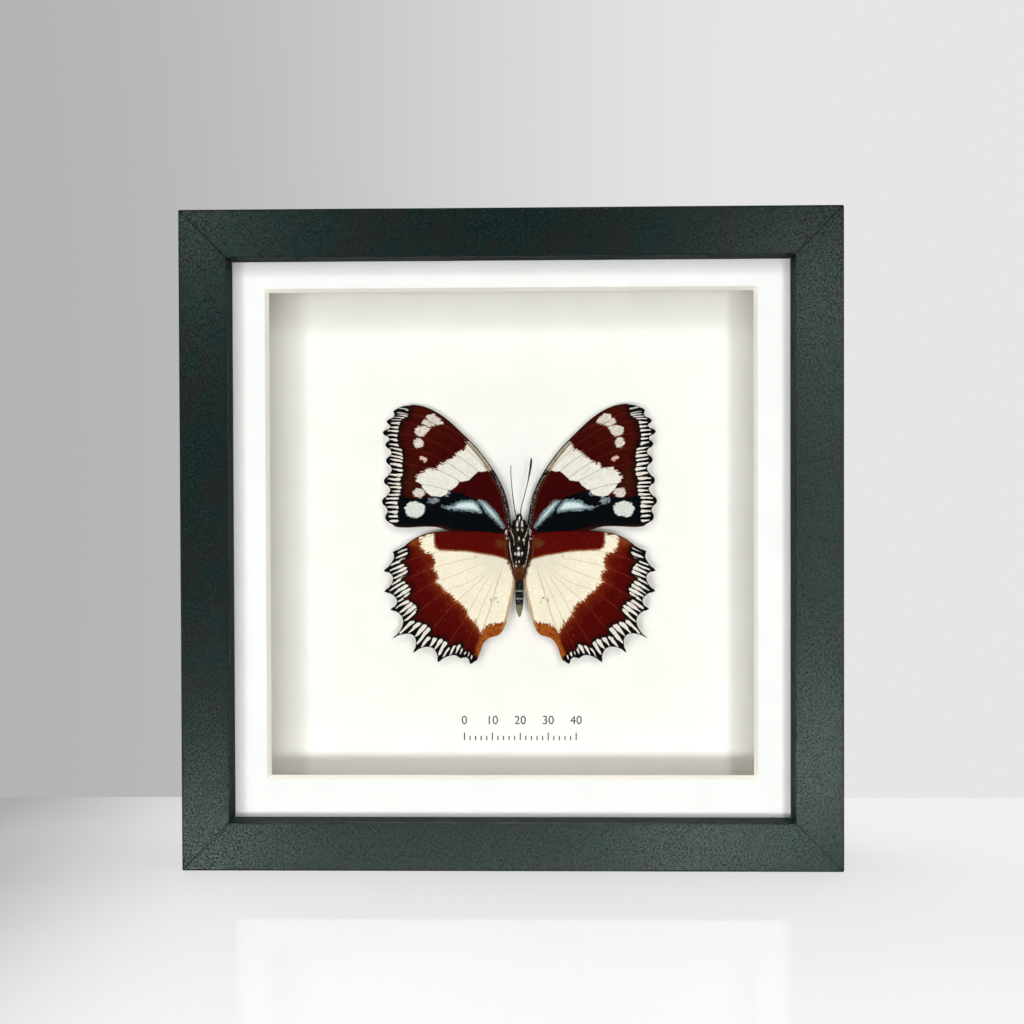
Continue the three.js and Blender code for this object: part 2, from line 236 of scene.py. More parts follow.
class StageSettings(bpy.types.PropertyGroup):
    eye: FloatVectorProperty(
        name="Camera place", description="Where the camera stands, in metres", size=3, subtype="TRANSLATION",
        unit="LENGTH", default=(0.00958, -0.4645, 0.12489),
    )
    turn: FloatVectorProperty(
        name="Camera turn", description="Turn to the left, tilt up and roll", size=3, subtype="EULER",
        default=(math.radians(1.171), math.radians(-0.713), math.radians(0.192)),
    )
    focal: FloatProperty(name="Focal length", description="In millimetres, on a 36 mm sensor", default=47.03)
    floor_edge: FloatProperty(
        name="Floor edge", description="How far behind the frame's front the floor ends",
        default=0.109, unit="LENGTH",
    )
    key: FloatProperty(
        name="Lamp power", description="Power that all the front lamps together would have at 1 m, in watts",
        default=12.6, min=0.0,
    )
    overhead: FloatProperty(
        name="Overhead power", description="Power of the lamp over the floor, in watts", default=46.0,
    )


SETTINGS = {"framed": FrameSettings, "wings": WingSettings, "insect": BodySettings, "stage": StageSettings}


# ------------------------------------------------------------------ outlines
def smooth_line(points, per_span=6):
    """A Catmull-Rom curve through the points."""
    p = np.array(points, float)
    p = np.vstack([2 * p[0] - p[1], p, 2 * p[-1] - p[-2]])
    t = np.linspace(0, 1, per_span, endpoint=False)[:, None]
    spans = [
        0.5 * (2 * b + (c - a) * t + (2 * a - 5 * b + 4 * c - d) * t ** 2 + (3 * b - a - 3 * c + d) * t ** 3)
        for a, b, c, d in zip(p, p[1:], p[2:], p[3:])
    ]
    return np.vstack(spans + [p[-2:-1]])


def scallops(start, pairs, steps=16):
    """Curves from tooth to tooth, each pulled in towards its own point."""
    t = np.linspace(0, 1, steps)[1:, None]
    line, a = [], np.array(start, float)
    for pull, tooth in pairs:
        pull, tooth = np.array(pull, float), np.array(tooth, float)
        line.append((1 - t) ** 2 * a + 2 * t * (1 - t) * pull + t ** 2 * tooth)
        a = tooth
    return np.vstack(line)


def resample(loop, step):
    """The closed loop with points about step apart, keeping its corners."""
    out = []
    for a, b in zip(loop, np.roll(loop, -1, axis=0)):
        count = max(1, int(round(np.linalg.norm(b - a) / step)))
        out.append(a + (b - a) * (np.arange(count) / count)[:, None])
    return np.vstack(out)


def disc(x, z, rx, rz):
    """A small oval outline."""
    turn = np.linspace(0, 2 * np.pi, 20, endpoint=False)
    return np.stack([x + rx * np.cos(turn), z + rz * np.sin(turn)], 1)


def segment_distance(points, a, b):
    """Distance of each point from the segment a-b."""
    along = b - a
    t = np.clip(((points - a) @ along) / max(along @ along, 1e-12), 0, 1)
    return np.linalg.norm(points - (a + t[:, None] * along), axis=1)


def inside_depth(points, loop):
    """Distance from the closed loop's edge, positive inside it and negative outside."""
    loop = np.array(loop, float)
    nearest = np.full(len(points), 1e9)
    crossings = np.zeros(len(points), int)
    for a, b in zip(loop, np.roll(loop, -1, axis=0)):
        nearest = np.minimum(nearest, segment_distance(points, a, b))
        spans = (a[1] > points[:, 1]) != (b[1] > points[:, 1])
        if spans.any():
            x = a[0] + (points[:, 1] - a[1]) * (b[0] - a[0]) / (b[1] - a[1] + 1e-12)
            crossings += spans & (points[:, 0] < x)
    return np.where(crossings % 2 == 1, nearest, -nearest)


def side_distance(points, line):
    """Distance from an open line that runs outwards, positive on the side of its right hand."""
    line = np.array(line, float)
    last = line[-1] + (line[-1] - line[-2]) * 6
    line = np.vstack([line, last])
    nearest = np.full(len(points), 1e9)
    side = np.ones(len(points))
    for a, b in zip(line, line[1:]):
        d = segment_distance(points, a, b)
        along, away = b - a, points - a
        turn = away[:, 0] * along[1] - away[:, 1] * along[0]
        closer = d < nearest - 1e-9
        side = np.where(closer, np.sign(turn), side)
        nearest = np.minimum(nearest, d)
    return nearest * side


# ------------------------------------------------------------------ the butterfly's right wings, from the wing roots
FOREWING_COSTA = (
    (2.4, -0.4), (3.0, 3.5), (3.8, 8.8), (5.2, 13.8), (7.7, 19.0), (11.2, 24.3), (15.4, 29.6), (20.4, 34.6),
    (24.9, 38.8), (29.2, 41.8), (33.4, 43.7), (37.6, 44.4), (41.5, 44.0), (44.4, 42.2),
)
# Teeth and the hollows between them, in turn
FOREWING_MARGIN = (
    (44.2, 40.6), (46.7, 38.6), (45.7, 36.7), (48.1, 34.6), (46.0, 32.3), (47.2, 30.2), (45.3, 27.5),
    (47.0, 24.7), (45.3, 21.5), (47.8, 17.5), (45.9, 14.3), (48.5, 10.4), (46.9, 7.2), (47.4, 4.4),
)
FOREWING_INNER_EDGE = (
    (46.1, 2.5), (43.6, 1.3), (39.8, 1.0), (33.8, 1.3), (28.5, 1.0), (23.2, -0.8), (16.1, -2.6), (9.1, -3.2),
    (4.6, -3.0), (2.2, -2.6),
)
# Veins run from the root to a tooth, first the one nearest the costa.
FOREWING_VEINS = (
    ((4.1, 0.0), (7.7, 19.0), (15.4, 29.6), (27.4, 37.4), (39.6, 41.6), (44.4, 42.2)),
    ((4.1, 0.0), (9.1, 17.6), (18.2, 28.2), (28.5, 35.4), (36.8, 37.5), (41.2, 38.6), (46.7, 38.6)),
    ((4.1, 0.0), (10.8, 15.9), (14.4, 20.8), (22.5, 26.8), (29.1, 30.8), (36.8, 33.5), (42.4, 34.2),
     (48.1, 34.6)),
    ((4.1, 0.0), (12.9, 15.5), (17.2, 18.3), (24.9, 23.6), (30.5, 26.5), (35.5, 28.4), (40.6, 29.0),
     (47.2, 30.2)),
    ((4.1, 0.0), (14.4, 13.1), (21.1, 17.4), (29.5, 21.7), (33.9, 22.4), (41.2, 23.8), (47.0, 24.7)),
    ((4.1, 0.0), (10.5, 5.3), (15.4, 9.5), (26.3, 14.5), (35.2, 16.4), (41.5, 17.1), (47.8, 17.5)),
    ((4.1, 0.0), (14.4, 4.2), (24.9, 7.4), (35.5, 9.9), (42.6, 10.6), (48.5, 10.4)),
    ((4.1, -0.4), (14.4, 1.1), (28.5, 3.2), (42.6, 4.1), (47.4, 4.4)),
)
FOREWING_STRIPES = (4, 3, 3, 4, 4, 5, 4)  # pale stripes between one vein and the next
FOREWING_STRIPED = (
    (50, 46), (38.6, 45.5), (39.0, 41.6), (39.0, 40.2), (41.5, 38.8), (42.2, 36.7), (42.8, 33.2),
    (42.6, 30.3), (41.0, 28.2), (40.8, 25.4), (41.2, 23.9), (40.8, 21.6), (40.9, 19.8), (41.9, 17.6),
    (41.5, 15.2), (41.7, 12.7), (42.9, 10.8), (42.4, 8.6), (42.7, 6.1), (42.4, 3.4), (43.6, 2.2), (50, 0),
)
# The band's outer side is ragged and its inner side is crisp, so each has its own loop.
FOREWING_BAND = (
    (17.9, 31.6), (18.6, 30.1), (19.3, 28.4), (21.4, 27.6), (23.2, 26.1), (24.9, 24.7), (27.1, 23.5),
    (28.5, 23.0), (29.0, 21.7), (30.9, 21.7), (32.7, 21.8), (34.8, 20.3), (36.2, 19.0), (36.0, 17.2),
    (35.0, 11.0), (26.0, 10.0), (22.0, 13.0), (12.0, 18.0), (7.0, 20.0), (9.5, 26.0), (14.0, 31.0),
)
FOREWING_BAND_INSIDE = (
    (8.6, 21.7), (12.9, 20.6), (14.4, 20.8), (16.1, 19.4), (17.2, 18.3), (17.9, 17.5), (19.6, 17.3),
    (21.2, 17.1), (22.2, 15.6), (23.9, 14.4), (25.1, 14.2), (25.7, 12.8), (27.1, 12.1), (29.2, 11.9),
    (31.3, 12.2), (32.9, 13.6), (34.1, 15.0), (34.6, 16.4), (36.8, 17.6), (44.0, 24.0), (44.0, 48.0),
    (5.0, 48.0), (5.0, 25.0),
)
FOREWING_WHITE_SPOTS = (
    ((26.9, 37.8), (28.0, 39.3), (29.8, 40.9), (32.0, 40.9), (32.9, 40.1), (32.0, 38.8), (30.7, 37.9),
     (29.2, 37.3)),
    ((29.7, 37.0), (30.9, 37.8), (32.3, 38.8), (33.4, 39.3), (34.0, 38.5), (34.2, 37.8), (32.7, 37.0),
     (31.3, 36.6)),
    ((31.2, 36.1), (32.7, 36.6), (34.0, 37.0), (35.6, 36.9), (36.5, 36.1), (36.9, 34.9), (36.3, 33.8),
     (34.9, 33.1), (33.6, 33.2), (32.7, 34.1), (32.0, 35.2)),
    disc(35.5, 30.8, 1.7, 1.8), disc(35.5, 13.2, 2.1, 1.65),
)
FOREWING_PINK_SPOTS = (disc(33.3, 25.0, 0.75, 0.8), disc(34.4, 25.6, 0.75, 0.65))
FOREWING_BLUE_SPOTS = (
    ((33.2, 7.9), (34.1, 9.2), (35.4, 10.0), (37.6, 10.1), (39.6, 9.4), (40.5, 7.9), (40.3, 6.2), (38.9, 4.7),
     (36.8, 4.5), (34.9, 4.9), (33.6, 6.2)),
)
FOREWING_DUSTED = (disc(30.3, 10.5, 1.9, 1.1), disc(25.7, 13.2, 1.1, 1.0))
FOREWING_BLACK = (
    (5.2, 1.1), (14.4, 10.6), (16.5, 11.7), (19.6, 13.0), (23.2, 13.8), (25.3, 14.0), (28.5, 12.2),
    (37.0, 11.2), (41.6, 12.0), (42.0, 16.2), (50, 17.0), (49.6, 1.6), (43.6, 1.8), (37.3, 1.7),
    (28.5, 1.9), (21.4, 0.3), (14.4, -1.4), (7.3, -2.6),
)
FOREWING_STREAKS = (
    ((5.1, 0.9), (5.9, 2.7), (7.9, 6.0), (10.5, 8.8), (12.0, 10.2), (13.9, 10.8), (14.8, 10.3), (13.4, 8.6),
     (12.1, 6.8), (10.0, 4.5), (7.7, 2.4), (5.9, 0.5)),
    ((13.1, 6.7), (14.0, 8.5), (15.4, 10.3), (17.1, 10.8), (19.7, 10.6), (22.2, 10.2), (23.0, 9.2),
     (25.8, 8.4), (27.6, 8.6), (25.8, 7.4), (21.7, 6.9), (17.1, 6.6), (13.7, 6.0)),
)
HINDWING_COSTA = (
    (2.6, -2.8), (6.2, -1.2), (10.1, -0.5), (16.1, -0.2), (23.2, -0.2), (29.2, -0.5), (33.8, -1.4),
    (37.3, -3.0), (40.1, -4.9), (44.8, -7.6),
)
HINDWING_SCALLOPS = (
    ((43.1, -9.2), (48.0, -14.3)),
    ((41.9, -15.9), (47.8, -21.5)),
    ((40.5, -24.3), (45.7, -27.9)),
    ((37.5, -30.9), (45.0, -38.1)),
    ((34.5, -33.7), (37.6, -43.2)),
    ((29.4, -38.2), (29.0, -46.7)),
    ((23.4, -42.9), (20.9, -45.3)),
    ((18.4, -44.1), (17.3, -47.7)),
)
HINDWING_INNER_EDGE = (
    (15.1, -46.2), (14.0, -43.0), (12.9, -40.2), (11.2, -38.3), (9.1, -37.5), (7.3, -36.9), (5.7, -34.9),
    (4.4, -31.4), (3.3, -26.5), (2.1, -21.2), (1.5, -16.6), (1.4, -13.8), (1.4, -10.6), (1.8, -7.0),
    (2.2, -4.0),
)
HINDWING_VEINS = (
    ((5.2, -3.5), (14.4, -1.1), (28.5, -1.4), (37.3, -3.9), (39.4, -5.3), (44.8, -7.6)),
    ((5.2, -9.2), (15.8, -8.1), (24.9, -7.1), (30.9, -8.1), (40.1, -10.9), (48.0, -14.3)),
    ((5.2, -9.2), (16.1, -9.9), (24.9, -11.6), (30.9, -13.4), (40.5, -17.3), (47.8, -21.5)),
    ((5.2, -9.2), (14.4, -12.3), (24.9, -16.6), (29.5, -18.0), (39.8, -24.0), (45.7, -27.9)),
    ((5.2, -9.2), (11.5, -14.1), (18.6, -18.7), (26.3, -21.5), (38.7, -31.4), (45.0, -38.1)),
    ((5.2, -9.2), (11.5, -15.5), (17.9, -21.2), (22.8, -25.7), (32.0, -36.3), (37.6, -43.2)),
    ((5.2, -9.2), (10.1, -15.5), (14.7, -22.6), (18.6, -30.0), (25.6, -40.9), (29.0, -46.7)),
    ((5.2, -9.2), (9.1, -17.6), (12.9, -26.1), (15.8, -33.5), (20.2, -43.6), (20.9, -45.3)),
    ((5.2, -9.2), (7.7, -17.6), (10.1, -26.1), (12.9, -34.6), (14.7, -39.9), (17.3, -47.7)),
)
HINDWING_STRIPES = (3, 4, 4, 4, 4, 4, 4, 3)
# Where the striped edge begins on each vein, and how far it bows in between
HINDWING_CUSPS = (
    (40.5, -5.0), (42.0, -11.0), (41.7, -17.1), (40.7, -23.9), (38.8, -31.5), (32.8, -37.3), (26.5, -42.0),
    (20.6, -43.8), (16.4, -44.4),
)
HINDWING_BOWS = (
    (37.1, -8.8), (36.5, -14.4), (35.2, -21.5), (32.4, -26.9), (27.8, -33.8), (22.7, -38.1), (17.8, -37.5),
    (18.7, -41.1),
)
HINDWING_CREAM = (
    (3.6, -10.4), (5.4, -9.6), (9.1, -8.6), (13.7, -7.9), (18.6, -7.1), (23.2, -6.9), (27.8, -6.7),
    (29.5, -6.0), (29.7, -3.9), (29.7, -1.1), (34.8, -2.0), (35.0, -3.2), (34.8, -5.3), (34.1, -6.7),
    (32.7, -7.8), (30.6, -8.5), (29.9, -10.6), (29.9, -12.7), (30.6, -13.6), (29.2, -14.8), (28.6, -16.9),
    (29.5, -18.2), (27.4, -19.8), (26.3, -21.5), (24.2, -22.6), (22.8, -24.7), (20.7, -25.7),
    (18.9, -27.9), (18.2, -30.3), (16.5, -32.1), (15.1, -33.5), (14.0, -35.6), (13.7, -36.3),
    (12.6, -34.6), (10.8, -33.2), (9.1, -33.0), (5.8, -32.3), (4.0, -32.0), (2.2, -24.0), (0.8, -16.0),
    (0.6, -12.6), (3.0, -11.4),
)
HINDWING_COSTAL_STRIP = (
    (1.0, 4.0), (29.9, 4.0), (29.9, -1.5), (29.8, -4.4), (29.3, -5.9), (28.1, -6.7), (23.2, -7.0),
    (18.6, -7.2), (13.7, -8.0), (9.1, -8.7), (5.4, -9.7), (1.0, -10.4),
)
HINDWING_ORANGE = (
    (4.0, -31.8), (9.1, -32.6), (12.6, -34.0), (13.9, -37.0), (14.9, -40.6), (16.2, -44.6), (14.0, -45.5),
    (6.0, -40.0),
)
# Small worn places on the cream
HINDWING_MARKS = (
    disc(10.1, -24.6, 0.2, 1.0), disc(8.4, -23.9, 0.45, 0.35), disc(15.4, -9.2, 0.6, 0.18),
    disc(15.4, -31.9, 0.2, 0.9), disc(7.6, -25.4, 0.2, 0.5), disc(9.0, -24.6, 0.16, 0.4),
)


def wing_fields(points, outline, veins, stripes, regions):
    """Everything that the wing's markings are drawn from, at each point: a dictionary of numbers in millimetres.

    vein counts the veins from the costa, with fractions between them, and stripe does the same for the
    pale stripes of the margin. The rest are depths inside the wing's edge and inside each region.
    """
    sides = np.array([side_distance(points, smooth_line(vein, 5)) for vein in veins])
    passed = np.maximum.accumulate((sides > 0)[::-1], axis=0)[::-1].sum(0)
    lower = np.clip(passed - 1, 0, len(veins) - 2)
    rows = np.arange(len(points))
    near, far = np.abs(sides[lower, rows]), np.abs(sides[lower + 1, rows])
    share = near / np.maximum(near + far, 1e-6)
    share = np.where(passed == 0, -sides[0] * -0.12, share)
    past = passed == len(veins)
    share = np.where(past, 1 + 0.12 * sides[-1], share)
    counts = np.concatenate([[0], np.cumsum(stripes)])
    fields = {
        "vein": lower + share,
        "stripe": counts[lower] + share * np.array(stripes)[lower],
        "cell": near + far,
        "edge": inside_depth(points, outline),
        "reach": np.linalg.norm(points - np.array([4.0, -1.0]), axis=1),
        "tooth": np.min([np.linalg.norm(points - np.array(vein[-1]), axis=1) for vein in veins], axis=0),
    }
    for name, loops in regions.items():
        fields[name] = np.max([inside_depth(points, loop) for loop in loops], axis=0)
    return fields


def wing_sheet(outline, step):
    """Points and triangles that fill the outline evenly."""
    rim = resample(outline, step * 0.6)
    low, high = rim.min(0), rim.max(0)
    row = step * math.sqrt(3) / 2
    xs, zs = np.arange(low[0], high[0], step), np.arange(low[1], high[1], row)
    grid = np.array([(x + (j % 2) * step / 2, z) for j, z in enumerate(zs) for x in xs])
    grid = grid[inside_depth(grid, rim) > step * 0.55]
    loops = [list(range(len(rim)))]
    coords = [Vector(p) for p in np.vstack([rim, grid])]
    points, _, faces, *_ = delaunay_2d_cdt(coords, [], loops, 1, 1e-4)
    return np.array([tuple(p) for p in points]), [tuple(f) for f in faces]


def wing_height(points, fields, rise_from, lift):
    """How far the membrane stands towards the viewer: ridged veins, troughs between, and a slow wave."""
    phase = fields["vein"] % 1
    vein_gap = np.minimum(phase, 1 - phase) * fields["cell"]
    ridge = 0.07 * np.exp(-((vein_gap / 0.28) ** 2))
    trough = 0.16 * np.sin(np.pi * phase) ** 2 * np.clip(fields["cell"] / 6, 0, 1)
    wave = np.array([noise.noise(Vector((x / 13, z / 13, rise_from))) for x, z in points])
    away = np.clip((np.abs(points[:, 1] + 1.5) - 2.5) / 10, 0, 1) * np.clip((points[:, 0] - 5) / 10, 0, 1)
    curl = lift * np.clip((points[:, 0] - 18) / 30, 0, 1) ** 2
    return ridge - trough * away + 0.45 * wave * away + curl * away


def write_field(piece, name, values):
    """Gives each point of a piece a number that materials and node trees read by its name."""
    layer = piece.data.attributes.new(name, "FLOAT", "POINT")
    layer.data.foreach_set("value", np.asarray(values, np.float32))


def add_mesh(name, points, faces, materials, smooth=True):
    """An object from points in millimetres."""
    mesh = bpy.data.meshes.new(name)
    mesh.from_pydata((np.asarray(points, float) * MM).tolist(), [], [tuple(int(i) for i in f) for f in faces])
    mesh.polygons.foreach_set("use_smooth", np.full(len(mesh.polygons), smooth))
    for material in materials:
        mesh.materials.append(material)
    made = bpy.data.objects.new(name, mesh)
    bpy.context.scene.collection.objects.link(made)
    return made


def keep(piece, slot, *nodes):
    """The piece rides on the one body and stands for the CAD nodes. The slot is not used."""
    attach(piece, "root")
    if nodes:
        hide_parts(*nodes)


def baked(piece):
    """The piece with its modifiers applied."""
    graph = bpy.context.evaluated_depsgraph_get()
    mesh = bpy.data.meshes.new_from_object(piece.evaluated_get(graph), depsgraph=graph)
    mesh.name = piece.name
    piece.modifiers.clear()
    old, piece.data = piece.data, mesh
    bpy.data.meshes.remove(old)
    return piece


def build_wing_pair(kind, sheet, fields, heights, front_y, material, slot, thickness):
    """Both wings of a pair: the left one is the right one mirrored across the body."""
    points, faces = sheet
    for side, sign in (("right", 1), ("left", -1)):
        y = front_y + 0.12 - heights
        place = np.stack([ROOT_X + sign * points[:, 0], y, ROOT_Z + points[:, 1]], 1)
        turned = faces if sign > 0 else [f[::-1] for f in faces]
        wing = add_mesh(f"{kind}_{side}_wing", place, turned, [material])
        for field, values in {**fields, "half": np.full(len(points), float(sign))}.items():
            write_field(wing, field, values)
        solid = wing.modifiers.new("membrane", "SOLIDIFY")
        solid.thickness = thickness * MM
        solid.offset = -1.0
        baked(wing)
        keep(wing, slot, f"{kind}_{side}")


# ------------------------------------------------------------------ wing scales
def ragged(tree, along_mm, across):
    """Noise from -1 to 1 drawn out along the veins, as rows of scales are."""
    place = node(tree, "ShaderNodeCombineXYZ", {
        "X": times(tree, "@vein", across), "Y": times(tree, "@reach", 1 / along_mm), "Z": "@half",
    }).outputs[0]
    noise = node(
        tree, "ShaderNodeTexNoise", {"Vector": place, "Scale": 1.0, "Detail": 3.0, "Roughness": 0.65},
    )
    return source(tree, (noise.outputs["Fac"], 0.25, 0.75, -1.0, 1.0, "LINEAR"))


def cover(tree, field, rag, amount, shift=0.0, soft=0.12, share=1.0):
    """Where a region lies, up to share, its edge broken up by amount millimetres of rag and moved by shift."""
    depth = node(
        tree, "ShaderNodeMath", {0: rag, 1: amount, 2: "@" + field}, operation="MULTIPLY_ADD",
    ).outputs[0]
    return depth, -shift - soft, -shift + soft, 0.0, share


def times(tree, *factors):
    """The product of several numbers."""
    product = factors[0]
    for factor in factors[1:]:
        product = node(tree, "ShaderNodeMath", {0: product, 1: factor}, operation="MULTIPLY").outputs[0]
    return product


def vein_distance(tree):
    """Distance from the nearest vein, in millimetres."""
    phase = node(tree, "ShaderNodeMath", {0: "@vein", 1: 0.5}, operation="PINGPONG").outputs[0]
    return times(tree, phase, "@cell")


def vein_lines(tree, width_mm):
    """Thin lines along the veins."""
    return vein_distance(tree), width_mm * 0.4, width_mm, 1.0, 0.0


def margin_layers(tree, settings, fine, taper_mm):
    """The striped margin: black ground with pale fingers, and a white fringe in the hollows.

    The fingers are rounded at their inner ends. They thin away towards the wing's edge, and stop short of the
    teeth, which are black over their last taper_mm.
    """
    bent = node(
        tree, "ShaderNodeMath", {0: ragged(tree, 7.0, 2.0), 1: 0.2, 2: "@stripe"}, operation="MULTIPLY_ADD",
    ).outputs[0]
    gap = node(tree, "ShaderNodeMath", {0: bent, 1: 0.5}, operation="PINGPONG").outputs[0]
    rim_width = ("@tooth", 0.7, taper_mm, 1.2, 0.38)
    inward = node(tree, "ShaderNodeMath", {0: "@edge", 1: rim_width}, operation="SUBTRACT").outputs[0]
    off_centre = node(
        tree, "ShaderNodeMath", {0: gap, 1: -2.0, 2: 1.0}, operation="MULTIPLY_ADD",
    ).outputs[0]
    rounding = node(
        tree, "ShaderNodeMath", {0: times(tree, off_centre, off_centre), 1: -0.75, 2: "@striped"},
        operation="MULTIPLY_ADD",
    ).outputs[0]
    ends = node(
        tree, "ShaderNodeMath", {0: fine, 1: 0.45, 2: rounding}, operation="MULTIPLY_ADD",
    ).outputs[0]
    narrow = (inward, 0.0, 3.6, 0.4, 0.11, "LINEAR")
    uneven = node(
        tree, "ShaderNodeMath", {0: ragged(tree, 6.0, 4.3), 1: 0.12, 2: gap}, operation="MULTIPLY_ADD",
    ).outputs[0]
    frayed = node(
        tree, "ShaderNodeMath", {0: fine, 1: 0.04, 2: uneven}, operation="MULTIPLY_ADD",
    ).outputs[0]
    finger = node(tree, "ShaderNodeMath", {0: frayed, 1: narrow}, operation="SUBTRACT").outputs[0]
    zone = cover(tree, "striped", fine, 0.25, shift=0.25, soft=0.35)
    lobes = times(
        tree, (finger, -0.03, 0.06), (ends, 0.05, 0.35), (inward, 0.0, 0.25),
        (vein_distance(tree), 0.22, 0.46), ("@vein", 0.1, 0.6, 0.75, 1.0),
    )
    fringe = times(tree, ("@edge", 0.16, 0.32, 1.0, 0.0), ("@tooth", 1.2, 2.2), zone)
    shade = (object_noise(tree, 0.5, 2.0), 0.35, 0.65, 0.0, 0.35)
    mottled = paint(tree, settings.stripe, [(shade, "#CFC3B6")])
    return [(zone, settings.black), (lobes, mottled), (fringe, "#F4F2EE")]


def wing_finish(tree, shader, colour, fine):
    """The dull surface of overlapping scales. Their rows are drawn coarser than real, so that they show."""
    grain = object_noise(tree, 0.35, 2.0)
    toned = node(
        tree, "ShaderNodeMix", {"Factor": 1.0, "A": colour, "B": (grain, 0.3, 0.7, 0.84, 1.08, "LINEAR")},
        data_type="RGBA", blend_type="MULTIPLY",
    ).outputs["Result"]
    height = node(tree, "ShaderNodeMath", {0: grain, 1: fine}, operation="ADD").outputs[0]
    finish(tree, shader, toned, 0.8, 0.04, height, 0.03)


def forewing_scales(settings):
    """Butterfly scales, shed-prone powder on chitin: dull maroon with ragged white, black and blue fields."""
    material, tree, shader = new_material("forewing_scales")
    fine, coarse = ragged(tree, 2.0, 9.0), ragged(tree, 2.5, 3.5)
    maroon = paint(tree, settings.forewing_ground, [
        (("@reach", 30, 46, 0.0, 0.45), "#4A1405"),
        ((coarse, 0.0, 0.9, 0.0, 0.6), "#1E0100"),
        ((object_noise(tree, 3.0, 3.0, 0.65), 0.56, 0.75, 0.0, 0.5), "#56140A"),
    ])
    dust = source(tree, (object_noise(tree, 0.32, 3.0, 0.75, (1.6, 1.0, 0.8)), 0.4, 0.6))
    streak = cover(tree, "streaks", fine, 0.9, soft=0.25)
    streak_core = ("@streaks", 0.4, 1.25, 0.1, 1.0)
    blue = paint(tree, settings.blue, [
        (("@streaks", 1.1, 0.0, 0.0, 0.7), "#86A6B2"), (("@streaks", 0.9, 1.7, 0.0, 0.6), "#EEF4F2"),
    ])
    powder = node(tree, "ShaderNodeMath", {0: dust, 1: streak_core}, operation="MAXIMUM").outputs[0]
    inside = cover(tree, "band_inside", fine, 0.3, soft=0.1)
    band_colour = paint(tree, settings.band, [
        ((object_noise(tree, 2.0, 3.0, 0.6), 0.45, 0.7, 0.0, 0.5), "#DAD7C8"),
        (times(tree, vein_lines(tree, 0.2), 0.55), "#8F8B7C"),
    ])
    spot_tone = source(tree, (object_noise(tree, 0.7, 2.0, 0.6), 0.4, 0.62))
    layers = [
        (times(tree, vein_lines(tree, 0.17), ("@reach", 20, 32, 0.0, 0.5)), "#6E2218"),
        (cover(tree, "brown_patch", coarse, 1.5, soft=2.0, share=0.6), "#381808"),
        (cover(tree, "striped", coarse, 0.8, shift=1.4, soft=1.5, share=0.7), "#0E0302"),
        (cover(tree, "brown_edge", coarse, 0.5, soft=0.5), "#2A1409"),
        (cover(tree, "black_field", coarse, 0.5, soft=0.25), settings.black),
        (times(tree, streak, powder), blue),
        (times(tree, cover(tree, "dusted", fine, 0.9, soft=0.35), dust, 0.85), "#B9CCD2"),
        (times(tree, cover(tree, "band", fine, 1.35, shift=0.3, soft=0.2, share=0.5), inside), "#8A3A2A"),
        (times(tree, cover(tree, "band", fine, 1.35, shift=0.05, soft=0.1), inside), band_colour),
        (cover(tree, "white_spots", fine, 0.65, soft=0.22), paint(tree, "#D3C6B8", [(spot_tone, "#E9E3D6")])),
        (cover(tree, "pink_spots", fine, 0.5, soft=0.2), paint(tree, "#D9A496", [(spot_tone, "#F0D2C6")])),
        (cover(tree, "blue_spots", fine, 0.6, soft=0.2), paint(tree, "#D0D9D4", [(spot_tone, "#E6EBE0")])),
        (cover(tree, "costal_fur", fine, 0.3, soft=0.15), settings.black),
        (times(tree, cover(tree, "costal_fur", fine, 0.2, shift=-0.15, soft=0.15),
               (object_noise(tree, 0.55, 3.0, 0.7), 0.53, 0.62)), "#BDB9B0"),
        (cover(tree, "costal_beige", fine, 0.25, soft=0.15), paint(tree, "#A8997F", [
            ((object_noise(tree, 0.5, 2.0, 0.6), 0.5, 0.6, 0.0, 0.7), "#E0D6C2"),
        ])),
        (cover(tree, "costal_vein", fine, 0.05, soft=0.1), "#1A100D"),
        (cover(tree, "costal_line", fine, 0.1, soft=0.1), "#1A100D"),
        (cover(tree, "tan_line", fine, 0.05, soft=0.12, share=0.8), "#6B3C1C"),
    ]
    colour = paint(tree, maroon, layers + margin_layers(tree, settings, fine, 2.4))
    wing_finish(tree, shader, colour, fine)
    return material


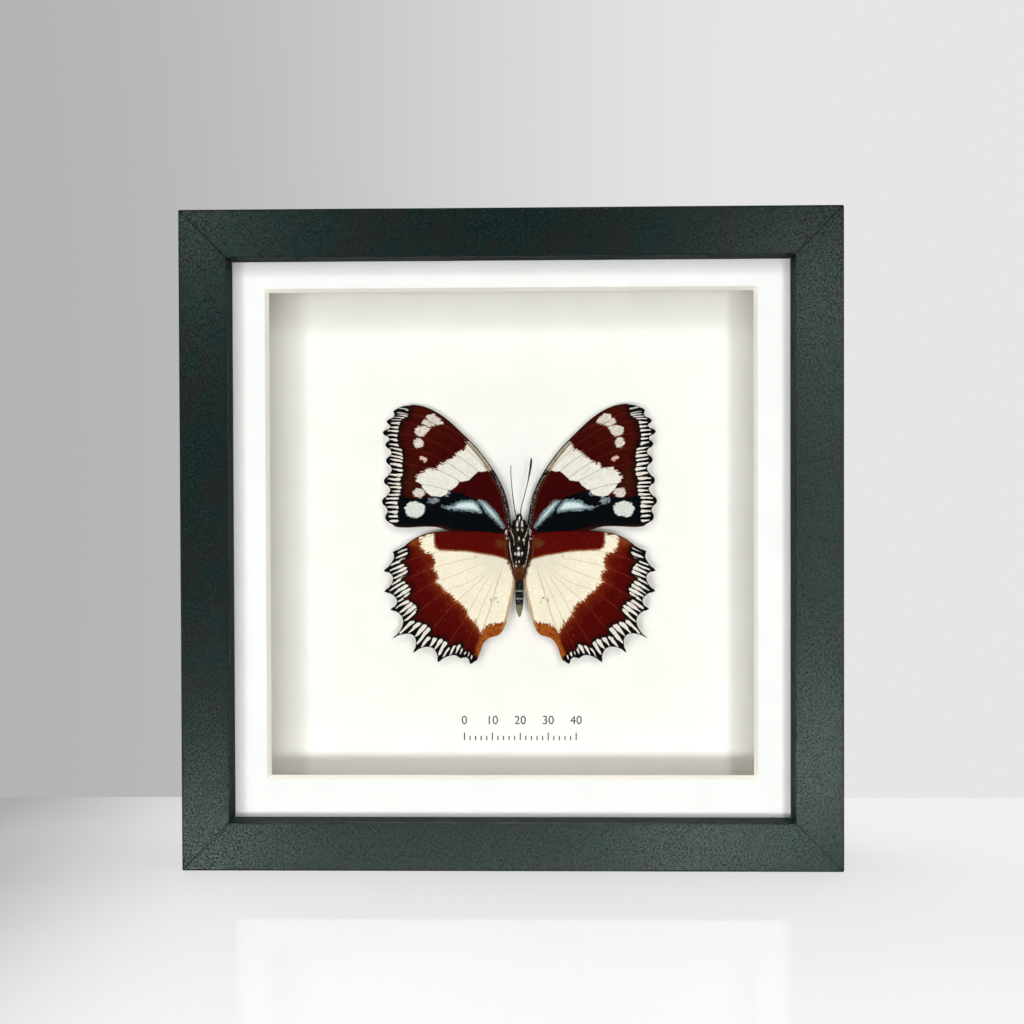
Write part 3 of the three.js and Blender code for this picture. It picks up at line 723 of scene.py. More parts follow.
def hindwing_scales(settings):
    """Butterfly scales: a cream field with a ragged edge on brick maroon, striped at the margin."""
    material, tree, shader = new_material("hindwing_scales")
    fine, coarse = ragged(tree, 2.2, 9.0), ragged(tree, 2.5, 3.5)
    scuff = (object_noise(tree, 1.3, 3.0, 0.7, (1.0, 1.0, 1.6)), 0.6, 0.72, 0.0, 0.6)
    maroon = paint(tree, settings.hindwing_ground, [
        (("@reach", 26, 42, 0.0, 0.5), "#420302"),
        ((coarse, 0.0, 0.9, 0.0, 0.5), "#6E1205"),
        (times(tree, scuff, ("@reach", 14, 26)), "#7E3A1A"),
    ])
    cream = paint(tree, settings.cream, [
        ((object_noise(tree, 6.0, 2.0), 0.5, 0.8, 0.0, 0.4), "#EFE3C4"),
        (("@reach", 8, 22, 0.5, 0.0), "#E3DCCB"),
        (times(tree, vein_lines(tree, 0.17), ("@reach", 9, 20, 0.0, 0.45)), "#A59C86"),
        ((object_noise(tree, 0.9, 2.0, 0.6, (0.5, 1, 2.2)), 0.74, 0.8, 0.0, 0.6), "#8A8172"),
        (cover(tree, "marks", fine, 0.1, soft=0.15, share=0.75), "#6E675C"),
    ])
    teeth = ("@reach", 16, 30, 0.8, 1.3)
    jagged = ragged(tree, 1.7, 13.0)
    layers = [
        (times(tree, vein_lines(tree, 0.17), 0.4), "#963C26"),
        (cover(tree, "corner", coarse, 0.8, soft=1.5, share=0.75), "#8E4E1E"),
        (cover(tree, "striped", coarse, 0.7, shift=1.2, soft=1.3, share=0.7), "#160302"),
        (cover(tree, "cream", coarse, 1.0, shift=2.4, soft=2.6, share=0.5), "#7E2C10"),
        (cover(tree, "cream", jagged, teeth, shift=0.75, soft=0.55, share=0.9), "#8E4614"),
        (cover(tree, "orange_patch", coarse, 1.1, soft=0.8), paint(tree, settings.orange, [
            ((object_noise(tree, 1.2, 3.0, 0.7), 0.42, 0.6), "#8A3A12"),
            (("@vein", 8.1, 7.7), "#6E1A08"),
        ])),
        (cover(tree, "cream", jagged, teeth, shift=-0.1, soft=0.15), cream),
        (cover(tree, "costal_strip", jagged, 0.5, shift=0.35, soft=0.35, share=0.9), "#8E4614"),
        (cover(tree, "costal_strip", jagged, 0.5, shift=-0.2, soft=0.25), maroon),
        (cover(tree, "smudge", jagged, 1.2, soft=0.9, share=0.4), "#6E4E24"),
        (cover(tree, "anal_line", fine, 0.2, soft=0.25, share=0.75), "#B98550"),
        (cover(tree, "costal_line", fine, 0.1, soft=0.15), "#1C0A08"),
        (cover(tree, "root", jagged, 0.7, shift=0.3, soft=0.3, share=0.8), "#6A3818"),
        (cover(tree, "root", jagged, 0.7, shift=-0.2, soft=0.4, share=0.9), "#2C130A"),
    ]
    colour = paint(tree, maroon, layers + margin_layers(tree, settings, fine, 4.0))
    wing_finish(tree, shader, colour, fine)
    return material


def strip(line, half_width):
    """A closed loop that follows an open line at half_width on each side."""
    line = np.array(line, float)
    along = np.gradient(line, axis=0)
    lengths = np.maximum(np.linalg.norm(along, axis=1), 1e-6)
    across = np.stack([-along[:, 1], along[:, 0]], 1) / lengths[:, None]
    return np.vstack([line + across * half_width, (line - across * half_width)[::-1]])


class SPECIMEN_OT_forewings(bpy.types.Operator):
    """Build the two forewings"""

    bl_idname = "specimen.forewings"
    bl_label = "Forewings"

    def execute(self, context):
        settings = context.scene.wings
        costa = smooth_line(FOREWING_COSTA)
        outline = np.vstack([
            costa[:-1], smooth_line(FOREWING_COSTA[-1:] + FOREWING_MARGIN + FOREWING_INNER_EDGE[:1], 8)[:-1],
            smooth_line(FOREWING_INNER_EDGE),
        ])
        sheet = wing_sheet(outline, settings.step)
        regions = {
            "striped": [FOREWING_STRIPED],
            "band": [FOREWING_BAND],
            "band_inside": [FOREWING_BAND_INSIDE],
            "dusted": FOREWING_DUSTED,
            "white_spots": FOREWING_WHITE_SPOTS,
            "pink_spots": FOREWING_PINK_SPOTS,
            "blue_spots": FOREWING_BLUE_SPOTS,
            "black_field": [FOREWING_BLACK],
            "brown_edge": [((6, -6), (50, -6), (50, 2.8), (28.5, 2.2), (23.2, 0.3), (14.4, -1.6), (5, -2.4))],
            "brown_patch": [disc(38.6, 17.5, 3.2, 4.4)],
            "streaks": FOREWING_STREAKS,
            "costal_fur": [strip(costa[:31] + np.array([0.7, -0.25]), 0.75)],
            "costal_beige": [strip(costa[27:39] + np.array([0.75, -0.65]), 0.75)],
            "costal_vein": [strip(costa[26:50] + np.array([0.85, -0.75]), 0.13)],
            "tan_line": [strip(costa[4:30] + np.array([1.75, -0.6]), 0.12)],
            "costal_line": [strip(costa[24:], 0.38)],
        }
        fields = wing_fields(sheet[0], outline, FOREWING_VEINS, FOREWING_STRIPES, regions)
        heights = wing_height(sheet[0], fields, 3.7, 0.5)
        build_wing_pair(
            "forewing", sheet, fields, heights, FOREWING_LOW[1], forewing_scales(settings), "forewing",
            settings.thickness,
        )
        return {"FINISHED"}


class SPECIMEN_OT_hindwings(bpy.types.Operator):
    """Build the two hindwings"""

    bl_idname = "specimen.hindwings"
    bl_label = "Hindwings"

    def execute(self, context):
        settings = context.scene.wings
        costa = smooth_line(HINDWING_COSTA)
        inner = smooth_line(HINDWING_INNER_EDGE)
        outline = np.vstack([costa, scallops(HINDWING_COSTA[-1], HINDWING_SCALLOPS)[:-1], inner])
        sheet = wing_sheet(outline, settings.step)
        bows = scallops(HINDWING_CUSPS[0], list(zip(HINDWING_BOWS, HINDWING_CUSPS[1:])))
        striped = np.vstack([[(46, -2)], bows, [(15.6, -44.5), (15, -52), (56, -52), (56, -2)]])
        regions = {
            "striped": [striped],
            "cream": [HINDWING_CREAM],
            "orange_patch": [HINDWING_ORANGE],
            "costal_line": [strip(costa[8:-6], 0.3)],
            "anal_line": [strip(inner[36:-12] + np.array([0.45, 0]), 0.42)],
            "smudge": [disc(6.6, -4.6, 1.7, 1.3)],
            "corner": [disc(37.3, -3.4, 3.0, 1.6)],
            "costal_strip": [HINDWING_COSTAL_STRIP],
            "marks": HINDWING_MARKS,
            "root": [((-1, -15.5), (2.2, -15.8), (3.5, -12.2), (4.7, -9.6), (4.9, -2), (4.2, 2), (-1, 2))],
        }
        fields = wing_fields(sheet[0], outline, HINDWING_VEINS, HINDWING_STRIPES, regions)
        heights = wing_height(sheet[0], fields, 11.3, 0.5)
        build_wing_pair(
            "hindwing", sheet, fields, heights, HINDWING_LOW[1], hindwing_scales(settings), "hindwing",
            settings.thickness,
        )
        return {"FINISHED"}


# ------------------------------------------------------------------ frame, glass and boards
def lacquered_moulding(settings):
    """Wood-fibre moulding under sprayed satin black lacquer: a soft sheen broken by fine mottling.

    The real mottling is too fine to show, so it is drawn coarser.
    """
    material, tree, shader = new_material("satin_black_lacquer")
    mottle = object_noise(tree, settings.mottle, 3.0, 0.8)
    cloud = object_noise(tree, 9.0, 2.0)
    # The pale specks, dark flecks and brown clouds are partly the lacquer's own mottling and partly painted sheen:
    # they lay its mottled, brownish green-grey sheen into the colour.
    colour = paint(tree, settings.lacquer, [
        ((mottle, 0.5, 0.66, 0.0, 0.8), "#253F39"),
        ((mottle, 0.5, 0.36, 0.0, 0.5), "#040A0B"),
        ((cloud, 0.42, 0.62, 0.0, 0.5), "#1D1915"),
    ])
    finish(tree, shader, colour, (mottle, 0.38, 0.66, 0.33, 0.19, "LINEAR"), 0.5, mottle, 0.005)
    return material


def edge_paint(name, deep, raised):
    """Matt edge paint, brushed on the sawn faces inside the lip and in the mitres, streaked by the brush. In the
    mitres it is near-black: painted shade that makes the closed groove dark.
    """
    material, tree, shader = new_material(name)
    grain = object_noise(tree, 0.6, 3.0, 0.6, (4, 1, 4))
    colour = paint(tree, deep, [((grain, 0.45, 0.65), raised)])
    finish(tree, shader, colour, 0.75, 0.12, grain, 0.02)
    return material


def inset(loop, amount):
    """The closed loop drawn in by amount; it runs with its inside on the left."""
    loop = np.array(loop, float)
    along = np.roll(loop, -1, axis=0) - loop
    normal = np.stack([-along[:, 1], along[:, 0]], 1) / np.linalg.norm(along, axis=1)[:, None]
    both = normal + np.roll(normal, 1, axis=0)
    return loop + amount * both / np.maximum((both ** 2).sum(1) / 2, 0.5)[:, None]


def rounded(section, steps=5):
    """The section with each corner that has a radius turned into an arc. Corners are (inward, y, radius)."""
    out = []
    previous, following = section[-1:] + section[:-1], section[1:] + section[:1]
    for (px, py, _), (x, y, r), (nx, ny, _) in zip(previous, section, following):
        corner, before, after = np.array([x, y]), np.array([px, py]), np.array([nx, ny])
        if r == 0:
            out.append(corner)
            continue
        u = (before - corner) / np.linalg.norm(before - corner)
        v = (after - corner) / np.linalg.norm(after - corner)
        centre = corner + (u + v) * r
        out += [centre - r * (v * math.cos(a) + u * math.sin(a)) for a in np.linspace(0, math.pi / 2, steps)]
    return out


class SPECIMEN_OT_moulding(bpy.types.Operator):
    """Build the four mitred lengths of moulding"""

    bl_idname = "specimen.moulding"
    bl_label = "Moulding"

    def execute(self, context):
        settings = context.scene.framed
        r = settings.edge_radius
        section = rounded([
            (0, FRONT_Y, r), (FACE_WIDTH, FRONT_Y, r * 0.7),
            (FACE_WIDTH, LIP_BACK_Y, 0), (WALL, LIP_BACK_Y, 0),
            (WALL, BACK_Y, r * 0.5), (0, BACK_Y, r * 0.5),
        ])
        count = len(section)
        # Each end is eased a little, and its chamfer takes near-black paint, painted shade, so that the closed mitre
        # shows as a fine dark groove.
        points = np.array([
            (sign * (OUTER / 2 - inward - gap), y, inward - CENTRE_Z)
            for sign, gap, loop in (
                (-1, MITRE_GAP, inset(section, MITRE_EASE)), (-1, MITRE_GAP + MITRE_EASE, section),
                (1, MITRE_GAP + MITRE_EASE, section), (1, MITRE_GAP, inset(section, MITRE_EASE)),
            ) for inward, y in loop
        ])
        faces = [
            (low + i, low + count + i, low + count + (i + 1) % count, low + (i + 1) % count)
            for low in range(0, 3 * count, count) for i in range(count)
        ]
        faces += [tuple(range(count)), tuple(range(3 * count, 4 * count))[::-1]]
        sides = [2 if i in LIP_FACES else 0 for i in range(count)]
        painted = [1] * count + sides + [1] * count + [1, 1]
        # The second paint is the near-black painted shade of the mitres' chamfers and ends.
        paints = [
            lacquered_moulding(settings), edge_paint("matt_black_edge_paint", "#050606", "#0B0D0D"),
            edge_paint("slate_black_lip_paint", "#1F2C2B", "#303F3D"),
        ]
        for quarter, side in enumerate(("bottom", "left", "top", "right")):
            turn = np.array(Matrix.Rotation(quarter * math.pi / 2, 3, "Y"))
            rail = add_mesh(f"moulding_{side}", points @ turn.T + (0, 0, CENTRE_Z), faces, paints)
            rail.data.polygons.foreach_set("material_index", np.array(painted, np.int32))
            for face in rail.data.polygons:
                face.use_smooth = bool(face.area < FACE_WIDTH * MM ** 2 * OUTER / 4)
            keep(rail, "frame_moulding", f"rail_{side}")
        return {"FINISHED"}


def clear_glass():
    """Float glass, 2 mm: clear and smooth, with a weak reflection."""
    material, tree, shader = new_material("clear_float_glass")
    finish(tree, shader, "#FDFEFD", 0.0, 0.2)
    feed(tree, shader, {"IOR": 1.45, "Transmission Weight": 1.0})
    return material


def white_card(name, colour, tooth_mm=0.25):
    """Paper-faced card, calendered: matt. The faint tooth of its fibres is drawn coarser than it is, so it shows."""
    material, tree, shader = new_material(name)
    fibre = object_noise(tree, tooth_mm, 3.0, 0.6)
    cloud = object_noise(tree, 14.0, 2.0)
    base = linear(colour)
    shade = tuple(c * 0.965 for c in base[:3]) + (1.0,)
    colour = paint(tree, base, [((cloud, 0.3, 0.8), shade), ((fibre, 0.5, 0.8, 0.0, 0.5), shade)])
    finish(tree, shader, colour, 0.9, 0.15, fibre, 0.015)
    return material


def hardboard():
    """Wet-pressed hardboard, smooth face out: warm brown with flecks of darker fibre."""
    material, tree, shader = new_material("hardboard")
    fleck = object_noise(tree, 1.2, 4.0, 0.7, (2.5, 1, 1))
    cloud = object_noise(tree, 30.0, 2.0)
    colour = paint(tree, "#7B5636", [
        ((fleck, 0.52, 0.66, 0.0, 0.7), "#4E3320"),
        ((fleck, 0.42, 0.3, 0.0, 0.5), "#9A7350"),
        ((cloud, 0.4, 0.7, 0.0, 0.4), "#6A4A2E"),
    ])
    finish(tree, shader, colour, (fleck, 0.3, 0.7, 0.5, 0.7, "LINEAR"), 0.5, fleck, 0.04)
    return material


def foam_board():
    """Extruded polystyrene, hot-cut and yellowed a little: off-white with a fine closed-cell texture."""
    material, tree, shader = new_material("polystyrene_foam")
    place = node(tree, "ShaderNodeTexCoord").outputs["Object"]
    cells = node(tree, "ShaderNodeTexVoronoi", {"Vector": place, "Scale": 1 / (0.4 * MM)}).outputs["Distance"]
    colour = paint(tree, "#D6CEBF", [((cells, 0.3, 0.8, 0.0, 0.5), "#C4BBAA")])
    finish(tree, shader, colour, 0.8, 0.5, cells, 0.05)
    return material


def zinc_plate():
    """Stamped mild steel, bright zinc plated: cool grey, faintly spangled, with rolled-in scratches."""
    material, tree, shader = new_material("zinc_plated_steel")
    spangle = object_noise(tree, 1.5, 2.0)
    scratch = object_noise(tree, 0.2, 2.0, 0.6, (12, 1, 1))
    colour = paint(tree, "#B9BDBF", [((spangle, 0.4, 0.65, 0.0, 0.7), "#9DA2A5")])
    finish(tree, shader, colour, (scratch, 0.3, 0.7, 0.28, 0.45, "LINEAR"), 0.5, scratch, 0.01)
    feed(tree, shader, {"Metallic": 1.0})
    return material


def dress(name, material):
    """Gives a carried-over CAD node its finished material."""
    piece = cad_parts[name]
    piece.data.materials.clear()
    piece.data.materials.append(material)


class SPECIMEN_OT_boards(bpy.types.Operator):
    """Finish the glass, the boards and the spacers"""

    bl_idname = "specimen.boards"
    bl_label = "Glass and boards"

    def execute(self, context):
        settings = context.scene.framed
        dress("glass_pane", clear_glass())
        # Lamplight and light from the boards pass straight through the pane.
        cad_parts["glass_pane"].visible_shadow = False
        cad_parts["glass_pane"].visible_diffuse = False
        dress("backing_board", white_card("white_mount_board", settings.board))
        dress("back_panel", hardboard())
        foam = foam_board()
        for side in ("top", "bottom", "left", "right"):
            dress(f"spacer_{side}", foam)
        dress("foam_riser", foam)
        return {"FINISHED"}


class SPECIMEN_OT_mat(bpy.types.Operator):
    """Cut the window mat with its bevelled edge"""

    bl_idname = "specimen.mat"
    bl_label = "Window mat"

    def execute(self, context):
        settings = context.scene.framed
        per_side = 90
        half_outer = (MAT_HIGH[0] - MAT_LOW[0]) / 2
        t = np.linspace(-1, 1, per_side, endpoint=False)
        one = np.ones(per_side)
        square = np.vstack([
            np.stack([t, -one], 1), np.stack([one, t], 1), np.stack([-t, one], 1), np.stack([-one, -t], 1),
        ])
        waver = np.array([noise.noise(Vector((x * 9, z * 9, 5))) for x, z in square])[:, None] * 0.05
        rings = []
        for half, centre_z, y, shake in (
            (half_outer, CENTRE_Z, MAT_LOW[1], 0), (WINDOW / 2, WINDOW_Z, MAT_LOW[1], 1),
            (WINDOW / 2 - BEVEL, WINDOW_Z, MAT_HIGH[1], 1), (half_outer, CENTRE_Z, MAT_HIGH[1], 0),
        ):
            flat = square * (half + waver * shake)
            rings.append(np.stack([flat[:, 0], np.full(len(flat), y), flat[:, 1] + centre_z], 1))
        n = len(square)
        faces = [
            (r * n + i, r * n + (i + 1) % n, (r + 1) % 4 * n + (i + 1) % n, (r + 1) % 4 * n + i)
            for r in range(4) for i in range(n)
        ]
        card = white_card("white_mat_card", settings.card)
        core = white_card("cream_mat_core", settings.core, 0.18)
        mat = add_mesh("mat_card", np.vstack(rings), faces, [card, core], smooth=False)
        cut = [int(ring in (1, 3)) for ring in range(4) for _ in range(n)]
        mat.data.polygons.foreach_set("material_index", cut)
        keep(mat, "mat_card", "window_mat")
        return {"FINISHED"}


# ------------------------------------------------------------------ fittings and the printed scale
def group_tree(name, sockets):
    """An empty geometry node tree with the named inputs. sockets maps a name to (kind, default)."""
    tree = bpy.data.node_groups.new(name, "GeometryNodeTree")
    tree.interface.new_socket("Geometry", in_out="INPUT", socket_type="NodeSocketGeometry")
    tree.interface.new_socket("Geometry", in_out="OUTPUT", socket_type="NodeSocketGeometry")
    for label, (kind, default) in sockets.items():
        socket = tree.interface.new_socket(label, in_out="INPUT", socket_type=kind)
        if default is not None:
            socket.default_value = default
    return tree, node(tree, "NodeGroupInput"), node(tree, "NodeGroupOutput")


def hand_on(tree, start, end, spread):
    """Makes the tree's instances real, gives them its material and hands them on."""
    whole = node(tree, "GeometryNodeRealizeInstances", {0: spread.outputs[0]})
    done = node(
        tree, "GeometryNodeSetMaterial", {"Geometry": whole.outputs[0], "Material": start.outputs["Material"]},
    )
    tree.links.new(done.outputs[0], end.inputs[0])
    return tree


def run_tree(piece, tree, values):
    """Runs the tree on the piece with the given inputs and keeps the result as a plain mesh."""
    modifier = piece.modifiers.new("nodes", "NODES")
    modifier.node_group = tree
    names = {item.name: item.identifier for item in tree.interface.items_tree if item.in_out == "INPUT"}
    for label, value in values.items():
        modifier[names[label]] = value
    return baked(piece)


def points_tree():
    """Sets one tongue at every point, turned by the point's own angle."""
    tree, start, end = group_tree("retaining_points", {
        "Tongue": ("NodeSocketObject", None), "Material": ("NodeSocketMaterial", None),
    })
    shape = node(tree, "GeometryNodeObjectInfo", {"Object": start.outputs["Tongue"]})
    carried = node(tree, "GeometryNodeInputNamedAttribute", {"Name": "angle"}, data_type="FLOAT")
    angle = carried.outputs["Attribute"]
    turn = node(tree, "ShaderNodeCombineXYZ", {"Y": angle}).outputs[0]
    spread = node(tree, "GeometryNodeInstanceOnPoints", {
        "Points": start.outputs["Geometry"], "Instance": shape.outputs["Geometry"], "Rotation": turn,
    })
    return hand_on(tree, start, end, spread)


class SPECIMEN_OT_fittings(bpy.types.Operator):
    """Build the retaining points, and give the sawtooth hanger and its nails their steel"""

    bl_idname = "specimen.fittings"
    bl_label = "Back fittings"

    def execute(self, context):
        steel = zinc_plate()
        low, high = box_mm("retaining_point_bottom_1")
        half, length, thick = (high[0] - low[0]) / 2, high[2] - low[2], high[1] - low[1]
        arc = [(half * math.cos(a), length - half + half * math.sin(a)) for a in np.linspace(0, math.pi, 13)]
        neck = half * 0.86
        outline = [(0, 0), (half, 2.4), (half, 5.0), (neck, 5.6), (neck, 6.4), (half, 7.0)] + arc
        outline += [(-half, 7.0), (-half * 0.86, 6.4), (-half * 0.86, 5.6), (-half, 5.0), (-half, 2.4)]
        flat = np.array(outline)
        count = len(flat)
        front = np.stack([flat[:, 0], np.zeros(count), flat[:, 1]], 1)
        back = front + (0, thick, 0)
        faces = [tuple(range(count)), tuple(range(count, 2 * count))[::-1]]
        faces += [(i, i + count, (i + 1) % count + count, (i + 1) % count) for i in range(count)]
        tongue = add_mesh("tongue_pattern", np.vstack([front, back]), faces, [steel], smooth=False)
        bevel = tongue.modifiers.new("edge", "BEVEL")
        bevel.width, bevel.segments = 0.12 * MM, 2
        bevel.limit_method = "ANGLE"
        baked(tongue)
        seats, angles, names = [], [], []
        for side, quarter in (("bottom", 0), ("left", 1), ("top", 2), ("right", 3)):
            turn = np.array(Matrix.Rotation(quarter * math.pi / 2, 3, "Y"))
            for sign, index in ((-1, 1), (1, 2)):
                seat = np.array([sign * (low[0] + half), low[1], low[2] - CENTRE_Z])
                seats.append(turn @ seat + (0, 0, CENTRE_Z))
                angles.append(quarter * math.pi / 2)
                names.append(f"retaining_point_{side}_{index}")
        points = add_mesh("retaining_points", seats, [], [steel])
        write_field(points, "angle", angles)
        run_tree(points, points_tree(), {"Tongue": tongue, "Material": steel})
        bpy.data.objects.remove(tongue)
        keep(points, "steel", *names)
        for name in ("sawtooth_hanger", "hanger_nail_left", "hanger_nail_right"):
            dress(name, steel)
        return {"FINISHED"}


SCALE_LENGTH = 40  # millimetres ruled
SCALE_PITCH = 2  # millimetres from stroke to stroke
SCALE_TICKS_Z = 37.2  # foot of the ruled line
SCALE_DIGITS_Z = 43.0  # foot of the numbers
DIGIT_HEIGHT = 4.3
INK_THICK = 0.04


def ticks_tree():
    """One stroke per point of a line, and each fifth stroke is longer."""
    tree, start, end = group_tree("ruled_scale", {
        "Strokes": ("NodeSocketInt", SCALE_LENGTH // SCALE_PITCH + 1),
        "Pitch": ("NodeSocketFloat", SCALE_PITCH * MM),
        "Width": ("NodeSocketFloat", 0.42 * MM), "Height": ("NodeSocketFloat", 1.6 * MM),
        "Depth": ("NodeSocketFloat", INK_THICK * MM), "Material": ("NodeSocketMaterial", None),
    })
    line = node(tree, "GeometryNodeMeshLine", {
        "Count": start.outputs["Strokes"],
        "Offset": node(tree, "ShaderNodeCombineXYZ", {"X": start.outputs["Pitch"]}).outputs[0],
    })
    size = node(tree, "ShaderNodeCombineXYZ", {
        "X": start.outputs["Width"], "Y": start.outputs["Depth"], "Z": start.outputs["Height"],
    })
    stroke = node(tree, "GeometryNodeMeshCube", {"Size": size.outputs[0]})
    foot = node(tree, "ShaderNodeCombineXYZ", {
        "Z": times(tree, start.outputs["Height"], 0.5),
    })
    raised = node(
        tree, "GeometryNodeTransform", {"Geometry": stroke.outputs[0], "Translation": foot.outputs[0]},
    )
    index = node(tree, "GeometryNodeInputIndex").outputs[0]
    rest = node(tree, "ShaderNodeMath", {0: index, 1: 5.0}, operation="MODULO").outputs[0]
    fifth = node(tree, "ShaderNodeMath", {0: rest, 1: 0.5}, operation="LESS_THAN").outputs[0]
    tall = node(tree, "ShaderNodeMath", {0: fifth, 1: 0.7, 2: 1.0}, operation="MULTIPLY_ADD").outputs[0]
    scale = node(tree, "ShaderNodeCombineXYZ", {"X": 1.0, "Y": 1.0, "Z": tall}).outputs[0]
    spread = node(tree, "GeometryNodeInstanceOnPoints", {
        "Points": line.outputs[0], "Instance": raised.outputs[0], "Scale": scale,
    })
    return hand_on(tree, start, end, spread)


class SPECIMEN_OT_scale(bpy.types.Operator):
    """Print the plain ruled scale under the butterfly"""

    bl_idname = "specimen.scale"
    bl_label = "Printed scale"

    def execute(self, context):
        material, tree, shader = new_material("printed_ink")
        # Dark grey ink on card: matt, a little uneven where the card's tooth takes less of it.
        fade = source(tree, (object_noise(tree, 0.5, 3.0, 0.7), 0.45, 0.75, 0.0, 0.5))
        finish(tree, shader, paint(tree, "#121214", [(fade, "#343436")]), 0.8)
        ink_y = BOARD_LOW[1] - INK_THICK
        ticks = add_mesh("ticks", [(0, 0, 0)], [], [material])
        run_tree(ticks, ticks_tree(), {"Material": material})
        ticks.data.transform(Matrix.Translation(Vector((
            ROOT_X - SCALE_LENGTH / 2, ink_y + INK_THICK / 2, SCALE_TICKS_Z,
        )) * MM))
        parts = [ticks]
        for number in range(0, SCALE_LENGTH + 1, 10):
            text = bpy.data.curves.new(f"number_{number}", "FONT")
            text.body = str(number)
            text.align_x = "CENTER"
            text.size = DIGIT_HEIGHT * MM
            text.extrude = INK_THICK / 2 * MM
            holder = bpy.data.objects.new(text.name, text)
            context.scene.collection.objects.link(holder)
            context.view_layer.update()
            mesh = bpy.data.meshes.new_from_object(holder)
            bpy.data.objects.remove(holder)
            mesh.transform(
                Matrix.Translation(Vector((
                    ROOT_X - SCALE_LENGTH / 2 + number, ink_y + INK_THICK / 2, SCALE_DIGITS_Z,
                )) * MM) @ Matrix.Rotation(math.pi / 2, 4, "X")
            )
            mesh.materials.clear()
            mesh.materials.append(material)
            digit = bpy.data.objects.new(f"number_{number}", mesh)
            context.scene.collection.objects.link(digit)
            parts.append(digit)
        names = ["ruled_strokes"] + [f"scale_number_{n}" for n in range(0, SCALE_LENGTH + 1, 10)]
        for part, name in zip(parts, names):
            part.name = name
            part.data.name = name
            keep(part, "board")
        return {"FINISHED"}


# ------------------------------------------------------------------ the body
THORAX_PROFILE = (
    (0, -14.85), (1.3, -14.8), (1.7, -13.6), (2.15, -11.8), (2.75, -9), (3.15, -6), (3.25, -3.5), (3.1, -1.4),
    (2.6, 0.0), (1.5, 0.6), (0, 0.6),
)
ABDOMEN_PROFILE = (
    (0, -30.6), (0.42, -30.2), (0.9, -28.6), (1.3, -26.4), (1.52, -23.5), (1.52, -20), (1.5, -17.5),
    (1.55, -15.8), (1.35, -14.92), (0, -14.88),
)
ABDOMEN_RINGS = (-17.4, -19.3, -21.2, -22.8, -24.2, -26.0, -27.9)
EYES = ((1.5, -0.2, 2.7), (-1.5, -0.2, 2.7))
# White marks: x and z from the wing roots, half width, half height and strength
WHITE_MARKS = (
    (-0.62, 2.3, 0.3, 1.25, 1.0), (1.02, 2.3, 0.3, 1.25, 1.0),
    (-0.62, 0.3, 0.35, 0.4, 1.0), (1.0, 0.3, 0.35, 0.4, 1.0),
    (-4.5, -0.4, 0.32, 0.9, 1.0), (-4.3, -2.7, 0.4, 0.3, 1.0),
    (3.9, -0.6, 0.32, 0.9, 1.0), (3.8, -2.7, 0.4, 0.3, 1.0),
    (-0.25, -6.2, 0.5, 0.5, 1.0), (-0.25, -8.0, 0.55, 0.8, 1.0), (-1.5, -8.1, 0.3, 0.5, 1.0),
    (1.0, -7.95, 0.3, 0.55, 1.0), (-0.07, -2.9, 0.22, 0.9, 0.8), (1.56, -3.3, 0.45, 0.5, 0.7),
    (-0.07, -10.9, 0.3, 0.4, 0.8), (-1.16, -11.1, 0.25, 0.3, 0.9), (-1.0, -12.4, 0.4, 0.4, 1.0),
    (1.4, -12.6, 0.22, 0.5, 1.0), (0.1, 4.3, 0.34, 0.95, 0.8),
)


ROUND_END = 0.6  # how far a tube's end stands out, as a share of its radius


def closed_rows(first, rows, last):
    """A closed shape from rows of points round a line, with one more point at each end."""
    sides = len(rows[0])
    points = np.vstack([[first], *rows, [last]])
    top = 1 + (len(rows) - 1) * sides
    faces = [(0, 1 + (i + 1) % sides, 1 + i) for i in range(sides)]
    faces += [
        (a + i, a + (i + 1) % sides, a + sides + (i + 1) % sides, a + sides + i)
        for a in range(1, top, sides) for i in range(sides)
    ]
    faces += [(top + i, top + (i + 1) % sides, len(points) - 1) for i in range(sides)]
    return points, faces


def turned_surface(profile, rows, sides, swell):
    """A closed body of revolution about Z, with its radius changed by swell(angle, z)."""
    line = smooth_line(profile[1:-1], 8)
    span = np.concatenate([[0], np.cumsum(np.linalg.norm(np.diff(line, axis=0), axis=1))])
    at = np.linspace(0, span[-1], rows)
    radii, zs = np.interp(at, span, line[:, 0]), np.interp(at, span, line[:, 1])
    angles = np.linspace(0, 2 * np.pi, sides, endpoint=False)
    rings = [
        [(r * (1 + swell(a, z)) * math.sin(a), -r * (1 + swell(a, z)) * math.cos(a), z) for a in angles]
        for r, z in zip(radii, zs)
    ]
    return closed_rows((0, 0, profile[0][1]), rings, (0, 0, profile[-1][1]))


def tube(points, radii, sides=12, per_span=8):
    """A closed tube through the points, with a radius at each point and rounded ends."""
    path = smooth_line(np.array(points, float), per_span)
    radius = np.interp(np.linspace(0, 1, len(path)), np.linspace(0, 1, len(radii)), radii)
    along = np.gradient(path, axis=0)
    along /= np.linalg.norm(along, axis=1)[:, None]
    side = np.cross(along[0], (0.3, 1.0, 0.2))
    rings = []
    angles = np.linspace(0, 2 * np.pi, sides, endpoint=False)
    for place, direction, r in zip(path, along, radius):
        side = side - direction * (side @ direction)
        side /= np.linalg.norm(side)
        up = np.cross(direction, side)
        rings.append([place + r * (math.cos(a) * side + math.sin(a) * up) for a in angles])
    return closed_rows(
        path[0] - along[0] * radius[0] * ROUND_END, rings, path[-1] + along[-1] * radius[-1] * ROUND_END,
    )


